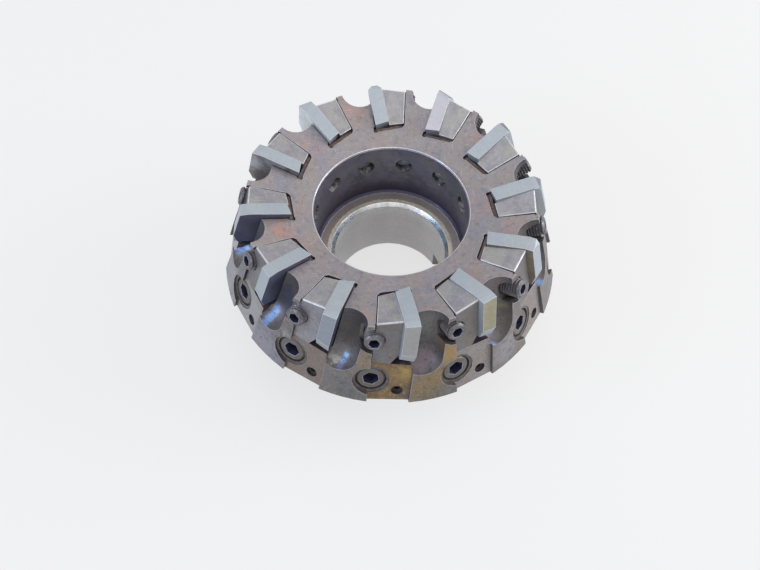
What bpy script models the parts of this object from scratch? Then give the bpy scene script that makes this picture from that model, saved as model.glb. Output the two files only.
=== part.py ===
"""Indexable face mill, twelve wedge-clamped carbide inserts, lying on its back face.

Every size is in millimetres and degrees and becomes metres only when a mesh is made.
The mill's axis is Z, its back face is z = 0 and its cutting face looks up.
Station 1 lies on +X, in line with a key slot, and the rest follow counter-clockwise.

Each station has a seat frame at its insert's cutting corner:
  p runs inward along the insert's face edge,
  q runs down along its side cutting edge,
  w runs back from the rake face, through the insert and into the wedge.
"""
import math

import bmesh
import bpy
from mathutils import Matrix, Vector

MM = 0.001

# Hub, rim and bore
BORE_DIAMETER = 38.1
BORE_CHAMFER = 1.25
BORE_BACK_CHAMFER = 0.6
COUNTERBORE_DIAMETER = 50.8
COUNTERBORE_DEPTH = 23.9
COUNTERBORE_CORNER = 0.8
COUNTERBORE_EDGE_BREAK = 0.3
HUB_DIAMETER = 82.5
HUB_HEIGHT = 21.6
HUB_CHAMFER = 1.0
KEY_SLOT_WIDTH = 15.9
KEY_SLOT_DEPTH = 7.1
RIM_DIAMETER = 114.0
RIM_HEIGHT = 27.3
RIM_EDGE_BREAK = 0.4
RIM_TAPER = 16.5
FACE_DISH = 13.5

# A larger rim carries more stations: its length around divided by the pitch
STATION_PITCH = 29.85
STATIONS = round(math.pi * RIM_DIAMETER / STATION_PITCH)

# Insert and how it stands in the body
CORNER_OUTSIDE_RIM_CONE = 2.05
CORNER_ABOVE_RIM = 35.6
CORNER_AHEAD = 3.0
LEAD_ANGLE = 15.0
AXIAL_RAKE = 7.2
RADIAL_RAKE = 3.1
INSERT_WIDTH = 16.7
INSERT_LENGTH = 18.0
INSERT_THICKNESS = 4.6
INSERT_RELIEF = 11.0
WIPER_LENGTH = 3.0
LOWER_FACET_LENGTH = 3.9
LOWER_FACET_DEPTH = 1.8
SEAT_GAP = 0.25

# Pocket, wedge and the wedge's screw
POCKET_END_CLEARANCE = 1.4
POCKET_FLOOR_CLEARANCE = 2.5
POCKET_CORNER = 0.8
POCKET_RELIEF = 0.7
WEDGE_OUTER_INSET = 4.5
WEDGE_FRONT_INSET = 3.1
WEDGE_TOP_DROP = 1.4
WEDGE_TOP_TILT = 13.9
WEDGE_TOP_FALL = 2.5
WEDGE_WIDTH_AT_OUTER_FACE = 7.6
WEDGE_TAPER = 13.2
WEDGE_FLOOR_CLEARANCE = 0.4
WEDGE_LOWER_CHAMFER_WIDTH = 2.1
WEDGE_LOWER_CHAMFER_HEIGHT = 4.2
WEDGE_SCREW_DIAMETER = 6.35
WEDGE_SCREW_LENGTH = 19.0
WEDGE_SCREW_DEPTH = 10.3
WEDGE_SCREW_TILT = 2.9
WEDGE_SCREW_SOCKET = 3.2
WEDGE_SCREW_SOCKET_DEPTH = 3.2
WEDGE_SCREW_STAND = 1.6
WEDGE_HOLE_EXIT_DIAMETER = 5.8
WEDGE_SCREW_RECESS_DIAMETER = 10.4
WEDGE_SCREW_RECESS_DEPTH = 4.5
THREAD_CLEARANCE = 0.25

# Chip gullet in front of the insert
GULLET_RADIUS = 6.3
GULLET_AXIS_INSET = 1.6
GULLET_AXIS_AHEAD = 3.0
GULLET_BALL_DEPTH = 17.7
GULLET_INSERT_OVERLAP = 0.2

# Milled flat below each pocket, with its two screws
FLAT_AZIMUTH = -7.3
FLAT_END_RECESS = 1.3
FLAT_HALF_ANGLE = 6.6
FLAT_PAST_WEDGE = 0.45
RIM_SCREW_DIAMETER = 9.5
RIM_SCREW_LENGTH = 11.0
RIM_SCREW_SOCKET = 4.75
RIM_SCREW_SOCKET_DEPTH = 4.0
RIM_SCREW_BEHIND_RAKE = 12.1
RIM_SCREW_BELOW_POCKET = 7.6
RIM_SCREW_SINK = 0.1
RIM_HOLE_END_CLEARANCE = 0.6
SPOTFACE_DIAMETER = 12.0
SPOTFACE_DEPTH = 0.3
DRILL_POINT_ANGLE = 30.0
SET_SCREW_DIAMETER = 3.8
SET_SCREW_RECESS = 1.2
SET_SCREW_SOCKET = 2.0
SET_SCREW_SOCKET_DEPTH = 1.6
SET_SCREW_BEHIND_RAKE = 3.6
SET_SCREW_ABOVE_RIM = 4.2

# How far cutters run past the faces that they open, and how round things are
PAST = 14.0
MERGE_DISTANCE = 0.0005
BODY_SEGMENTS = 96
HOLE_SEGMENTS = 16
GULLET_SEGMENTS = 24
SCREW_SEGMENTS = 18
SET_SCREW_SEGMENTS = 12
SCREW_EDGE_CHAMFER = 0.5


def tan(degrees):
    """Tangent of an angle in degrees."""
    return math.tan(math.radians(degrees))


def turn(degrees):
    """Turn about the mill's axis."""
    return Matrix.Rotation(math.radians(degrees), 4, "Z")


def rim_radius(height):
    """Radius of the rim's cone at a height above the back face."""
    return RIM_DIAMETER / 2 - (height - HUB_HEIGHT) * tan(RIM_TAPER)


def face_height(radius):
    """Height of the dished face at a radius."""
    return HUB_HEIGHT + RIM_HEIGHT + (radius - COUNTERBORE_DIAMETER / 2) * tan(FACE_DISH)


def face_outer_radius():
    """Radius where the dished face meets the rim's cone."""
    return rim_radius(face_height(0.0)) / (1.0 + tan(FACE_DISH) * tan(RIM_TAPER))


def counterbore_floor():
    """Height of the counterbore's floor above the back face."""
    return HUB_HEIGHT + RIM_HEIGHT - COUNTERBORE_DEPTH


def seat_frame():
    """Seat frame of the station on +X, as a 4x4 matrix in millimetres."""
    rake = Vector((-tan(RADIAL_RAKE), 1.0, -tan(AXIAL_RAKE))).normalized()
    down = Vector((tan(LEAD_ANGLE), 0.0, -1.0))
    down.y = -(rake.x * down.x + rake.z * down.z) / rake.y
    down.normalize()
    inward = rake.cross(down)
    height = HUB_HEIGHT + CORNER_ABOVE_RIM
    frame = Matrix((inward, down, -rake)).transposed().to_4x4()
    frame.translation = (rim_radius(height) + CORNER_OUTSIDE_RIM_CONE, CORNER_AHEAD, height)
    return frame


SEAT = seat_frame()


def insert_back():
    """Distance from the rake face to the wedge's front face."""
    return INSERT_THICKNESS + SEAT_GAP


def wedge_far(inset):
    """Distance from the rake face to the wedge's far side at an inset from the corner."""
    at_outer_face = insert_back() + WEDGE_WIDTH_AT_OUTER_FACE
    return at_outer_face - (inset - WEDGE_OUTER_INSET) * tan(WEDGE_TAPER)


def pocket_floor():
    """Depth of the pocket's floor below the insert's face edge."""
    return INSERT_LENGTH + POCKET_FLOOR_CLEARANCE


def flat_plane():
    """A point of the milled flat and the direction that it faces."""
    taper = math.radians(RIM_TAPER)
    outward = turn(FLAT_AZIMUTH).to_3x3() @ Vector((math.cos(taper), 0.0, math.sin(taper)))
    end_radius = RIM_DIAMETER / 2 - FLAT_END_RECESS
    distance = end_radius * math.cos(math.radians(FLAT_HALF_ANGLE))
    point = turn(FLAT_AZIMUTH) @ Vector((distance, 0.0, HUB_HEIGHT))
    return point, outward


def flat_inset(depth, behind):
    """Inset p at which the milled flat lies, at a depth q and a distance w behind the rake."""
    point, outward = flat_plane()
    start = SEAT @ Vector((0.0, depth, behind))
    inward = SEAT.to_3x3() @ Vector((1.0, 0.0, 0.0))
    return (point - start).dot(outward) / inward.dot(outward)


def on_flat(depth, behind):
    """Frame at a point of the milled flat, Z pointing out of it."""
    _, outward = flat_plane()
    frame = outward.to_track_quat("Z", "Y").to_matrix().to_4x4()
    frame.translation = SEAT @ Vector((flat_inset(depth, behind), depth, behind))
    return frame


def rim_screw_frame():
    """Frame of the rim screw, at the middle of its spotface."""
    return on_flat(pocket_floor() + RIM_SCREW_BELOW_POCKET, RIM_SCREW_BEHIND_RAKE)


def set_screw_frame():
    """Frame of the small set screw, at its height above the rim's lower face."""
    start = on_flat(0.0, SET_SCREW_BEHIND_RAKE).translation.z
    step = on_flat(1.0, SET_SCREW_BEHIND_RAKE).translation.z - start
    return on_flat((HUB_HEIGHT + SET_SCREW_ABOVE_RIM - start) / step, SET_SCREW_BEHIND_RAKE)


def wedge_screw_frame():
    """Frame of the wedge's screw in the seat: Z out along the wedge's far side, tilted up."""
    taper = math.radians(WEDGE_TAPER)
    outward = Vector((-math.cos(taper), -tan(WEDGE_SCREW_TILT), math.sin(taper))).normalized()
    middle = wedge_far(WEDGE_OUTER_INSET) + SEAT_GAP / 2
    frame = outward.to_track_quat("Z", "Y").to_matrix().to_4x4()
    frame.translation = (WEDGE_OUTER_INSET, WEDGE_SCREW_DEPTH, middle)
    return frame


def make_material(name, colour, roughness, metallic):
    """Principled material."""
    material = bpy.data.materials.new(name)
    material.use_nodes = True
    shader = material.node_tree.nodes["Principled BSDF"]
    shader.inputs["Base Color"].default_value = (*colour, 1.0)
    shader.inputs["Roughness"].default_value = roughness
    shader.inputs["Metallic"].default_value = metallic
    material.diffuse_color = (*colour, 1.0)
    return material


def mesh_from(bm, name, sharp_angle=30.0):
    """Closed outward-facing mesh in metres from a bmesh in millimetres, which is freed."""
    bmesh.ops.remove_doubles(bm, verts=bm.verts, dist=MERGE_DISTANCE)
    bmesh.ops.recalc_face_normals(bm, faces=bm.faces)
    bmesh.ops.scale(bm, vec=(MM, MM, MM), verts=bm.verts)
    mesh = bpy.data.meshes.new(name)
    bm.to_mesh(mesh)
    bm.free()
    mesh.shade_smooth()
    mesh.set_sharp_from_angle(angle=math.radians(sharp_angle))
    return mesh


def add_object(name, mesh, material=None):
    """Object in the scene's collection."""
    thing = bpy.data.objects.new(name, mesh)
    bpy.context.scene.collection.objects.link(thing)
    if material is not None and not mesh.materials:
        mesh.materials.append(material)
    return thing


def add_cutter(name, bm):
    """Hidden object that only cuts."""
    cutter = add_object(name, mesh_from(bm, name))
    cutter.hide_render = True
    cutter.display_type = "WIRE"
    return cutter


def cut(target, cutter):
    """Exact Boolean difference that stays live on the target."""
    modifier = target.modifiers.new(cutter.name, "BOOLEAN")
    modifier.operation = "DIFFERENCE"
    modifier.solver = "EXACT"
    modifier.object = cutter


def add_prism(bm, outline, start, end):
    """Prism over an outline of (p, w) points, from depth q = start to q = end."""
    lower = [bm.verts.new((p, start, w)) for p, w in outline]
    base = bm.faces.new(lower)
    grown = bmesh.ops.extrude_face_region(bm, geom=[base])
    moved = [item for item in grown["geom"] if isinstance(item, bmesh.types.BMVert)]
    bmesh.ops.translate(bm, vec=(0.0, end - start, 0.0), verts=moved)
    return lower + moved


def add_turned(bm, outline, segments, frame):
    """Solid turned about the frame's Z from an outline of (radius, height) points on the axis."""
    points = [bm.verts.new((radius, 0.0, height)) for radius, height in outline]
    edges = [bm.edges.new(pair) for pair in zip(points, points[1:])]
    before = set(bm.verts) - set(points)
    bmesh.ops.spin(bm, geom=points + edges, cent=(0, 0, 0), axis=(0, 0, 1),
                   angle=math.tau, steps=segments, use_merge=True)
    made = [vert for vert in bm.verts if vert not in before]
    bmesh.ops.remove_doubles(bm, verts=made, dist=MERGE_DISTANCE)
    made = [vert for vert in bm.verts if vert not in before]
    bmesh.ops.transform(bm, matrix=frame, verts=made)


def add_hexagon(bm, across_flats, bottom, top, frame):
    """Hexagonal prism about the frame's Z."""
    made = bmesh.ops.create_cone(bm, cap_ends=True, segments=6, depth=top - bottom,
                                 radius1=across_flats / math.sqrt(3), radius2=across_flats / math.sqrt(3))
    bmesh.ops.translate(bm, vec=(0.0, 0.0, (top + bottom) / 2), verts=made["verts"])
    bmesh.ops.transform(bm, matrix=frame, verts=made["verts"])


def repeat_round(bm):
    """Copy what the bmesh holds to every station."""
    first = list(bm.verts) + list(bm.edges) + list(bm.faces)
    for station in range(1, STATIONS):
        copy = bmesh.ops.duplicate(bm, geom=first)["geom"]
        verts = [item for item in copy if isinstance(item, bmesh.types.BMVert)]
        bmesh.ops.transform(bm, matrix=turn(360.0 * station / STATIONS), verts=verts)


def keep_behind(bm, point, normal):
    """Cut a solid by a plane, drop the side that the normal points to and close the cut."""
    cut_off = bmesh.ops.bisect_plane(bm, geom=list(bm.verts) + list(bm.edges) + list(bm.faces),
                                     plane_co=point, plane_no=normal, clear_outer=True)
    rim = [item for item in cut_off["geom_cut"] if isinstance(item, bmesh.types.BMEdge)]
    bmesh.ops.edgeloop_fill(bm, edges=rim)


def body_blank():
    """Turned blank: hub, rim cone, dished face, counterbore, ledge and bore."""
    bore = BORE_DIAMETER / 2
    counterbore = COUNTERBORE_DIAMETER / 2
    hub = HUB_DIAMETER / 2
    outer = face_outer_radius()
    edge = counterbore + COUNTERBORE_EDGE_BREAK
    floor = counterbore_floor()
    outline = (
        (bore + BORE_BACK_CHAMFER, 0.0),
        (hub - HUB_CHAMFER, 0.0),
        (hub, HUB_CHAMFER),
        (hub, HUB_HEIGHT),
        (RIM_DIAMETER / 2 - RIM_EDGE_BREAK, HUB_HEIGHT),
        (rim_radius(HUB_HEIGHT + RIM_EDGE_BREAK), HUB_HEIGHT + RIM_EDGE_BREAK),
        (outer, face_height(outer)),
        (edge, face_height(edge)),
        (counterbore, face_height(counterbore) - COUNTERBORE_EDGE_BREAK),
        (counterbore, floor + COUNTERBORE_CORNER),
        (counterbore - COUNTERBORE_CORNER, floor),
        (bore + BORE_CHAMFER, floor),
        (bore, floor - BORE_CHAMFER),
        (bore, BORE_BACK_CHAMFER),
    )
    bm = bmesh.new()
    points = [bm.verts.new((radius, 0.0, height)) for radius, height in outline]
    edges = [bm.edges.new((points[i - 1], points[i])) for i in range(len(points))]
    bmesh.ops.spin(bm, geom=points + edges, cent=(0, 0, 0), axis=(0, 0, 1),
                   angle=math.tau, steps=BODY_SEGMENTS, use_merge=True)
    return mesh_from(bm, "cutter_body")


def pocket_cutter():
    """Pocket that holds the insert and the wedge, open outward and upward, with a relieved corner."""
    front = -SEAT_GAP
    end = INSERT_WIDTH + POCKET_END_CLEARANCE
    far_at_end = wedge_far(end) + SEAT_GAP
    outline = (
        (-PAST, front),
        (end - 3 * POCKET_RELIEF, front),
        (end - 2 * POCKET_RELIEF, front - POCKET_RELIEF),
        (end, front - POCKET_RELIEF),
        (end + POCKET_RELIEF / 2, front),
        (end, front + POCKET_RELIEF),
        (end, far_at_end - POCKET_CORNER),
        (end - POCKET_CORNER, wedge_far(end - POCKET_CORNER) + SEAT_GAP),
        (-PAST, wedge_far(-PAST) + SEAT_GAP),
    )
    bm = bmesh.new()
    verts = add_prism(bm, outline, -PAST, pocket_floor())
    bmesh.ops.transform(bm, matrix=SEAT, verts=verts)
    repeat_round(bm)
    return add_cutter("pocket_cutter", bm)


def gullet_cutter():
    """Ball-ended groove ahead of the rake face, stopped at the rake plane."""
    arc_steps = GULLET_SEGMENTS // 4
    angles = [math.tau / 4 * step / arc_steps for step in range(arc_steps)]
    ball = [(GULLET_RADIUS * math.cos(angle), -GULLET_RADIUS * math.sin(angle)) for angle in angles]
    top = GULLET_BALL_DEPTH + PAST
    outline = [(0.0, top), (GULLET_RADIUS, top), *ball, (0.0, -GULLET_RADIUS)]
    # The tool stands along -q, with its ball end down the side cutting edge
    tool = Matrix(((1, 0, 0), (0, 0, -1), (0, 1, 0))).to_4x4()
    tool.translation = (GULLET_AXIS_INSET, GULLET_BALL_DEPTH, -GULLET_AXIS_AHEAD)
    bm = bmesh.new()
    add_turned(bm, outline, GULLET_SEGMENTS, tool)
    keep_behind(bm, (0.0, 0.0, GULLET_INSERT_OVERLAP), (0.0, 0.0, 1.0))
    bmesh.ops.transform(bm, matrix=SEAT, verts=bm.verts)
    repeat_round(bm)
    return add_cutter("gullet_cutter", bm)


def flat_cutter():
    """Slab that mills the flat below the pocket, from the rake plane to past the wedge."""
    bottom = (HUB_HEIGHT + CORNER_ABOVE_RIM + PAST) / math.cos(math.radians(LEAD_ANGLE))
    sides = (-SEAT_GAP, wedge_far(WEDGE_OUTER_INSET) + FLAT_PAST_WEDGE)
    corners = [(depth, behind) for depth in (-PAST, bottom) for behind in sides]
    bm = bmesh.new()
    inner = [bm.verts.new((flat_inset(depth, behind), depth, behind)) for depth, behind in corners]
    outer = [bm.verts.new((-PAST, depth, behind)) for depth, behind in corners]
    bmesh.ops.convex_hull(bm, input=inner + outer)
    bmesh.ops.transform(bm, matrix=SEAT, verts=bm.verts)
    repeat_round(bm)
    return add_cutter("flat_cutter", bm)


def wedge_hole_radius():
    """Radius of the hole that the wedge's screw runs in."""
    return WEDGE_SCREW_DIAMETER / 2 + THREAD_CLEARANCE


def add_drill(bm, steps, segments, frame):
    """Round cutter of one or more (radius, depth) steps, widest first, below the frame's origin."""
    outline = [(0.0, PAST), (steps[0][0], PAST)]
    for radius, depth in steps:
        outline += [(radius, outline[-1][1]), (radius, -depth)]
    outline.append((0.0, -steps[-1][1]))
    distinct = [point for index, point in enumerate(outline) if index == 0 or point != outline[index - 1]]
    add_turned(bm, distinct, segments, frame)


def wedge_hole_cutter():
    """Recess round the wedge's screw and its hole, right through to the counterbore."""
    start = SEAT @ wedge_screw_frame().translation
    reach = start.xy.length - COUNTERBORE_DIAMETER / 2 + wedge_hole_radius()
    steps = (
        (WEDGE_SCREW_RECESS_DIAMETER / 2, WEDGE_SCREW_RECESS_DEPTH),
        (wedge_hole_radius(), WEDGE_SCREW_LENGTH),
        (WEDGE_HOLE_EXIT_DIAMETER / 2, reach),
    )
    bm = bmesh.new()
    add_drill(bm, steps, HOLE_SEGMENTS, SEAT @ wedge_screw_frame())
    repeat_round(bm)
    return add_cutter("wedge_hole_cutter", bm)


def wedge_groove_cutter():
    """The screw's hole in the seat frame, for the groove along the wedge's far side."""
    bm = bmesh.new()
    add_drill(bm, [(wedge_hole_radius(), INSERT_WIDTH + PAST)], HOLE_SEGMENTS, wedge_screw_frame())
    return add_cutter("wedge_groove_cutter", bm)


def rim_hole_cutter():
    """Spotface and threaded hole of the rim screw."""
    hole = RIM_SCREW_DIAMETER / 2 + THREAD_CLEARANCE
    spot = SPOTFACE_DIAMETER / 2
    bottom = SPOTFACE_DEPTH + RIM_SCREW_SINK + RIM_SCREW_LENGTH + RIM_HOLE_END_CLEARANCE
    outline = ((0.0, PAST), (spot, PAST), (spot, -SPOTFACE_DEPTH), (hole, -SPOTFACE_DEPTH),
               (hole, -bottom), (0.0, -bottom - hole * tan(DRILL_POINT_ANGLE)))
    bm = bmesh.new()
    add_turned(bm, outline, HOLE_SEGMENTS, rim_screw_frame())
    repeat_round(bm)
    return add_cutter("rim_hole_cutter", bm)


def set_screw_cutters():
    """Recess over the small set screw, and the hexagon in its end."""
    recess = bmesh.new()
    add_drill(recess, [(SET_SCREW_DIAMETER / 2, SET_SCREW_RECESS)], SET_SCREW_SEGMENTS, set_screw_frame())
    repeat_round(recess)
    socket = bmesh.new()
    bottom = -SET_SCREW_RECESS - SET_SCREW_SOCKET_DEPTH
    add_hexagon(socket, SET_SCREW_SOCKET, bottom, PAST, set_screw_frame())
    repeat_round(socket)
    return add_cutter("set_screw_recess_cutter", recess), add_cutter("set_screw_socket_cutter", socket)


def key_slot_cutter():
    """Driving slot across the back face, along X."""
    bm = bmesh.new()
    bmesh.ops.create_cube(bm, size=1.0)
    bmesh.ops.scale(bm, vec=(RIM_DIAMETER + PAST, KEY_SLOT_WIDTH, KEY_SLOT_DEPTH * 2), verts=bm.verts)
    return add_cutter("key_slot_cutter", bm)


def build_body(material):
    """Body with every pocket, gullet, flat, hole and slot cut."""
    body = add_object("cutter_body", body_blank(), material)
    for cutter in (pocket_cutter(), gullet_cutter(), flat_cutter(), wedge_hole_cutter(),
                   rim_hole_cutter(), *set_screw_cutters(), key_slot_cutter()):
        cut(body, cutter)
    return body


def insert_mesh(material):
    """Square carbide plate with clearance on all sides, a wiper and a lower corner facet."""
    wiper_drop = WIPER_LENGTH * tan(LEAD_ANGLE)
    outline = (
        (WIPER_LENGTH, 0.0),
        (INSERT_WIDTH, 0.0),
        (INSERT_WIDTH, INSERT_LENGTH),
        (LOWER_FACET_DEPTH, INSERT_LENGTH),
        (0.0, INSERT_LENGTH - LOWER_FACET_LENGTH),
        (0.0, wiper_drop),
    )
    draw_in = INSERT_THICKNESS * tan(INSERT_RELIEF)
    bm = bmesh.new()
    rake = bm.faces.new([bm.verts.new((p, q, 0.0)) for p, q in outline])
    back = bmesh.ops.extrude_face_region(bm, geom=[rake])
    verts = [item for item in back["geom"] if isinstance(item, bmesh.types.BMVert)]
    bmesh.ops.translate(bm, vec=(0.0, 0.0, INSERT_THICKNESS), verts=verts)
    centre = Vector((INSERT_WIDTH / 2, INSERT_LENGTH / 2, INSERT_THICKNESS))
    for vert in verts:
        offset = vert.co - centre
        vert.co.x = centre.x + offset.x * (1.0 - 2 * draw_in / INSERT_WIDTH)
        vert.co.y = centre.y + offset.y * (1.0 - 2 * draw_in / INSERT_LENGTH)
    mesh = mesh_from(bm, "insert")
    mesh.materials.append(material)
    return mesh


def wedge_mesh(material):
    """Clamping wedge: outer face square to its far side, top tilted towards the insert's back,
    grooved for its screw, lower front corner cut."""
    front = insert_back()
    slope = tan(WEDGE_TAPER)
    width = (wedge_far(WEDGE_FRONT_INSET) - front) / (1.0 + slope * slope)
    outline = (
        (WEDGE_FRONT_INSET, front),
        (INSERT_WIDTH, front),
        (INSERT_WIDTH, wedge_far(INSERT_WIDTH)),
        (WEDGE_FRONT_INSET + width * slope, front + width),
    )
    bottom = pocket_floor() - WEDGE_FLOOR_CLEARANCE
    bm = bmesh.new()
    add_prism(bm, outline, 0.0, bottom)
    corner = (WEDGE_FRONT_INSET, WEDGE_TOP_DROP, front)
    keep_behind(bm, corner, (tan(WEDGE_TOP_FALL), -1.0, tan(WEDGE_TOP_TILT)))
    edge = (0.0, bottom - WEDGE_LOWER_CHAMFER_HEIGHT, front)
    keep_behind(bm, edge, (0.0, WEDGE_LOWER_CHAMFER_WIDTH, -WEDGE_LOWER_CHAMFER_HEIGHT))
    blank = add_object("wedge_blank", mesh_from(bm, "wedge_blank"), material)
    cut(blank, wedge_groove_cutter())
    grooved = bpy.data.meshes.new_from_object(blank.evaluated_get(bpy.context.evaluated_depsgraph_get()))
    bpy.data.objects.remove(blank, do_unlink=True)
    return grooved


def screw_mesh(name, diameter, length, socket, socket_depth, material):
    """Headless socket screw from z = 0 down, with a chamfered end and a hexagon socket."""
    radius = diameter / 2
    corner = socket / math.sqrt(3)
    outline = ((radius - SCREW_EDGE_CHAMFER, 0.0), (radius, -SCREW_EDGE_CHAMFER), (radius, -length), (0.0, -length))
    bm = bmesh.new()
    points = [bm.verts.new((r, 0.0, z)) for r, z in outline]
    edges = [bm.edges.new(pair) for pair in zip(points, points[1:])]
    bmesh.ops.spin(bm, geom=points + edges, cent=(0, 0, 0), axis=(0, 0, 1),
                   angle=math.tau, steps=SCREW_SEGMENTS, use_merge=True)
    bmesh.ops.remove_doubles(bm, verts=bm.verts, dist=MERGE_DISTANCE)
    lip = [edge for edge in bm.edges if edge.is_boundary]
    angles = [math.tau * side / 6 for side in range(6)]
    hexagon = [bm.verts.new((corner * math.cos(angle), corner * math.sin(angle), 0.0)) for angle in angles]
    ring = [bm.edges.new((hexagon[side - 1], hexagon[side])) for side in range(6)]
    bmesh.ops.triangle_fill(bm, use_beauty=True, edges=lip + ring)
    walls = bmesh.ops.extrude_edge_only(bm, edges=ring)
    sunk = [item for item in walls["geom"] if isinstance(item, bmesh.types.BMVert)]
    bmesh.ops.translate(bm, vec=(0.0, 0.0, -socket_depth), verts=sunk)
    bmesh.ops.contextual_create(bm, geom=sunk)
    mesh = mesh_from(bm, name)
    mesh.materials.append(material)
    return mesh


def scaled(frame):
    """The same frame with its place in metres."""
    result = frame.copy()
    result.translation = frame.translation * MM
    return result


def build_station(number, meshes):
    """Insert, wedge, wedge screw and rim screw of one station, on an empty at its seat."""
    around = turn(360.0 * (number - 1) / STATIONS)
    seat = bpy.data.objects.new(f"seat_{number:02d}", None)
    bpy.context.scene.collection.objects.link(seat)
    seat.matrix_world = scaled(around @ SEAT)
    sunk = Matrix.Translation((0.0, 0.0, -SPOTFACE_DEPTH - RIM_SCREW_SINK))
    places = {
        "insert": Matrix.Identity(4),
        "wedge": Matrix.Identity(4),
        "wedge_screw": wedge_screw_frame() @ Matrix.Translation((0.0, 0.0, WEDGE_SCREW_STAND)),
        "rim_screw": SEAT.inverted() @ rim_screw_frame() @ sunk,
    }
    for name, place in places.items():
        piece = add_object(f"{name}_{number:02d}", meshes[name])
        piece.parent = seat
        piece.matrix_local = scaled(place)


def build():
    """The whole mill."""
    for thing in list(bpy.data.objects):
        bpy.data.objects.remove(thing, do_unlink=True)
    steel = make_material("body_steel", (0.27, 0.23, 0.22), 0.42, 0.85)
    carbide = make_material("carbide", (0.42, 0.46, 0.48), 0.32, 0.7)
    clamp = make_material("wedge_steel", (0.30, 0.28, 0.28), 0.4, 0.85)
    black = make_material("screw_steel", (0.16, 0.15, 0.16), 0.4, 0.85)
    build_body(steel)
    meshes = {
        "insert": insert_mesh(carbide),
        "wedge": wedge_mesh(clamp),
        "wedge_screw": screw_mesh("wedge_screw", WEDGE_SCREW_DIAMETER, WEDGE_SCREW_LENGTH,
                                  WEDGE_SCREW_SOCKET, WEDGE_SCREW_SOCKET_DEPTH, black),
        "rim_screw": screw_mesh("rim_screw", RIM_SCREW_DIAMETER, RIM_SCREW_LENGTH,
                                RIM_SCREW_SOCKET, RIM_SCREW_SOCKET_DEPTH, black),
    }
    for number in range(1, STATIONS + 1):
        build_station(number, meshes)


build()
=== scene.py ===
import logging
import math
from collections.abc import Callable, Iterable
from dataclasses import dataclass, field
from enum import Enum, IntEnum

import bmesh
import bpy
from mathutils import Matrix, Vector, noise


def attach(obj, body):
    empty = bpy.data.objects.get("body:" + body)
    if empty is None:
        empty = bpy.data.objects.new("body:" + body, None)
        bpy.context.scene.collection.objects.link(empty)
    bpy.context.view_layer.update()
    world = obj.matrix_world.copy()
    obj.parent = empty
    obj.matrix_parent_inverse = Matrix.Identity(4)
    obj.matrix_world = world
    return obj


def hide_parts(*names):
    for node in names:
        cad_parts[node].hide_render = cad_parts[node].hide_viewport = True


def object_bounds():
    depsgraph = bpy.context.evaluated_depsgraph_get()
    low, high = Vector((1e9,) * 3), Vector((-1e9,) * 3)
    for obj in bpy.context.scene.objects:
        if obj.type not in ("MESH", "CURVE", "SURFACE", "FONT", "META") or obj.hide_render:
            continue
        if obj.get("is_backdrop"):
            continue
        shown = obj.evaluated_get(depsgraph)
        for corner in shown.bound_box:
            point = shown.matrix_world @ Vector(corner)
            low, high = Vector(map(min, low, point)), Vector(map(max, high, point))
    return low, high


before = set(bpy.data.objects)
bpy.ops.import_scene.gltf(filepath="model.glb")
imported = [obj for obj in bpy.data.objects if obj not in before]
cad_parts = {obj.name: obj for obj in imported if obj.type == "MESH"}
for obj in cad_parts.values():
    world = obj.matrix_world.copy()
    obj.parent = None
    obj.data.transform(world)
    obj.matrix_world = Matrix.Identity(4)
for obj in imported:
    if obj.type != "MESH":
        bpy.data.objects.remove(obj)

LOG = logging.getLogger("face_mill")
MM = 0.001
Triple = tuple[float, float, float]
Colour = Triple
Socket = bpy.types.NodeSocket
Mesh = bmesh.types.BMesh
SEAT_ATTRIBUTE = "seat"
WELD = 0.002
FINE_WELD = 0.001
FLAT_ANGLE = 0.4
# Cosines of the angles within which two directions count as alike, from the same way to slightly.
SAME_WAY = 0.99
CLOSE_WAY = 0.95
NEAR_WAY = 0.9
LOOSE_WAY = 0.8
HALF_WAY = 0.5
SLIGHT_WAY = 0.2


def tan(degrees: float) -> float:
    """Tangent of an angle in degrees."""
    return math.tan(math.radians(degrees))


def turn(degrees: float) -> Matrix:
    """Turn about the mill's axis."""
    return Matrix.Rotation(math.radians(degrees), 4, "Z")


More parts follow.
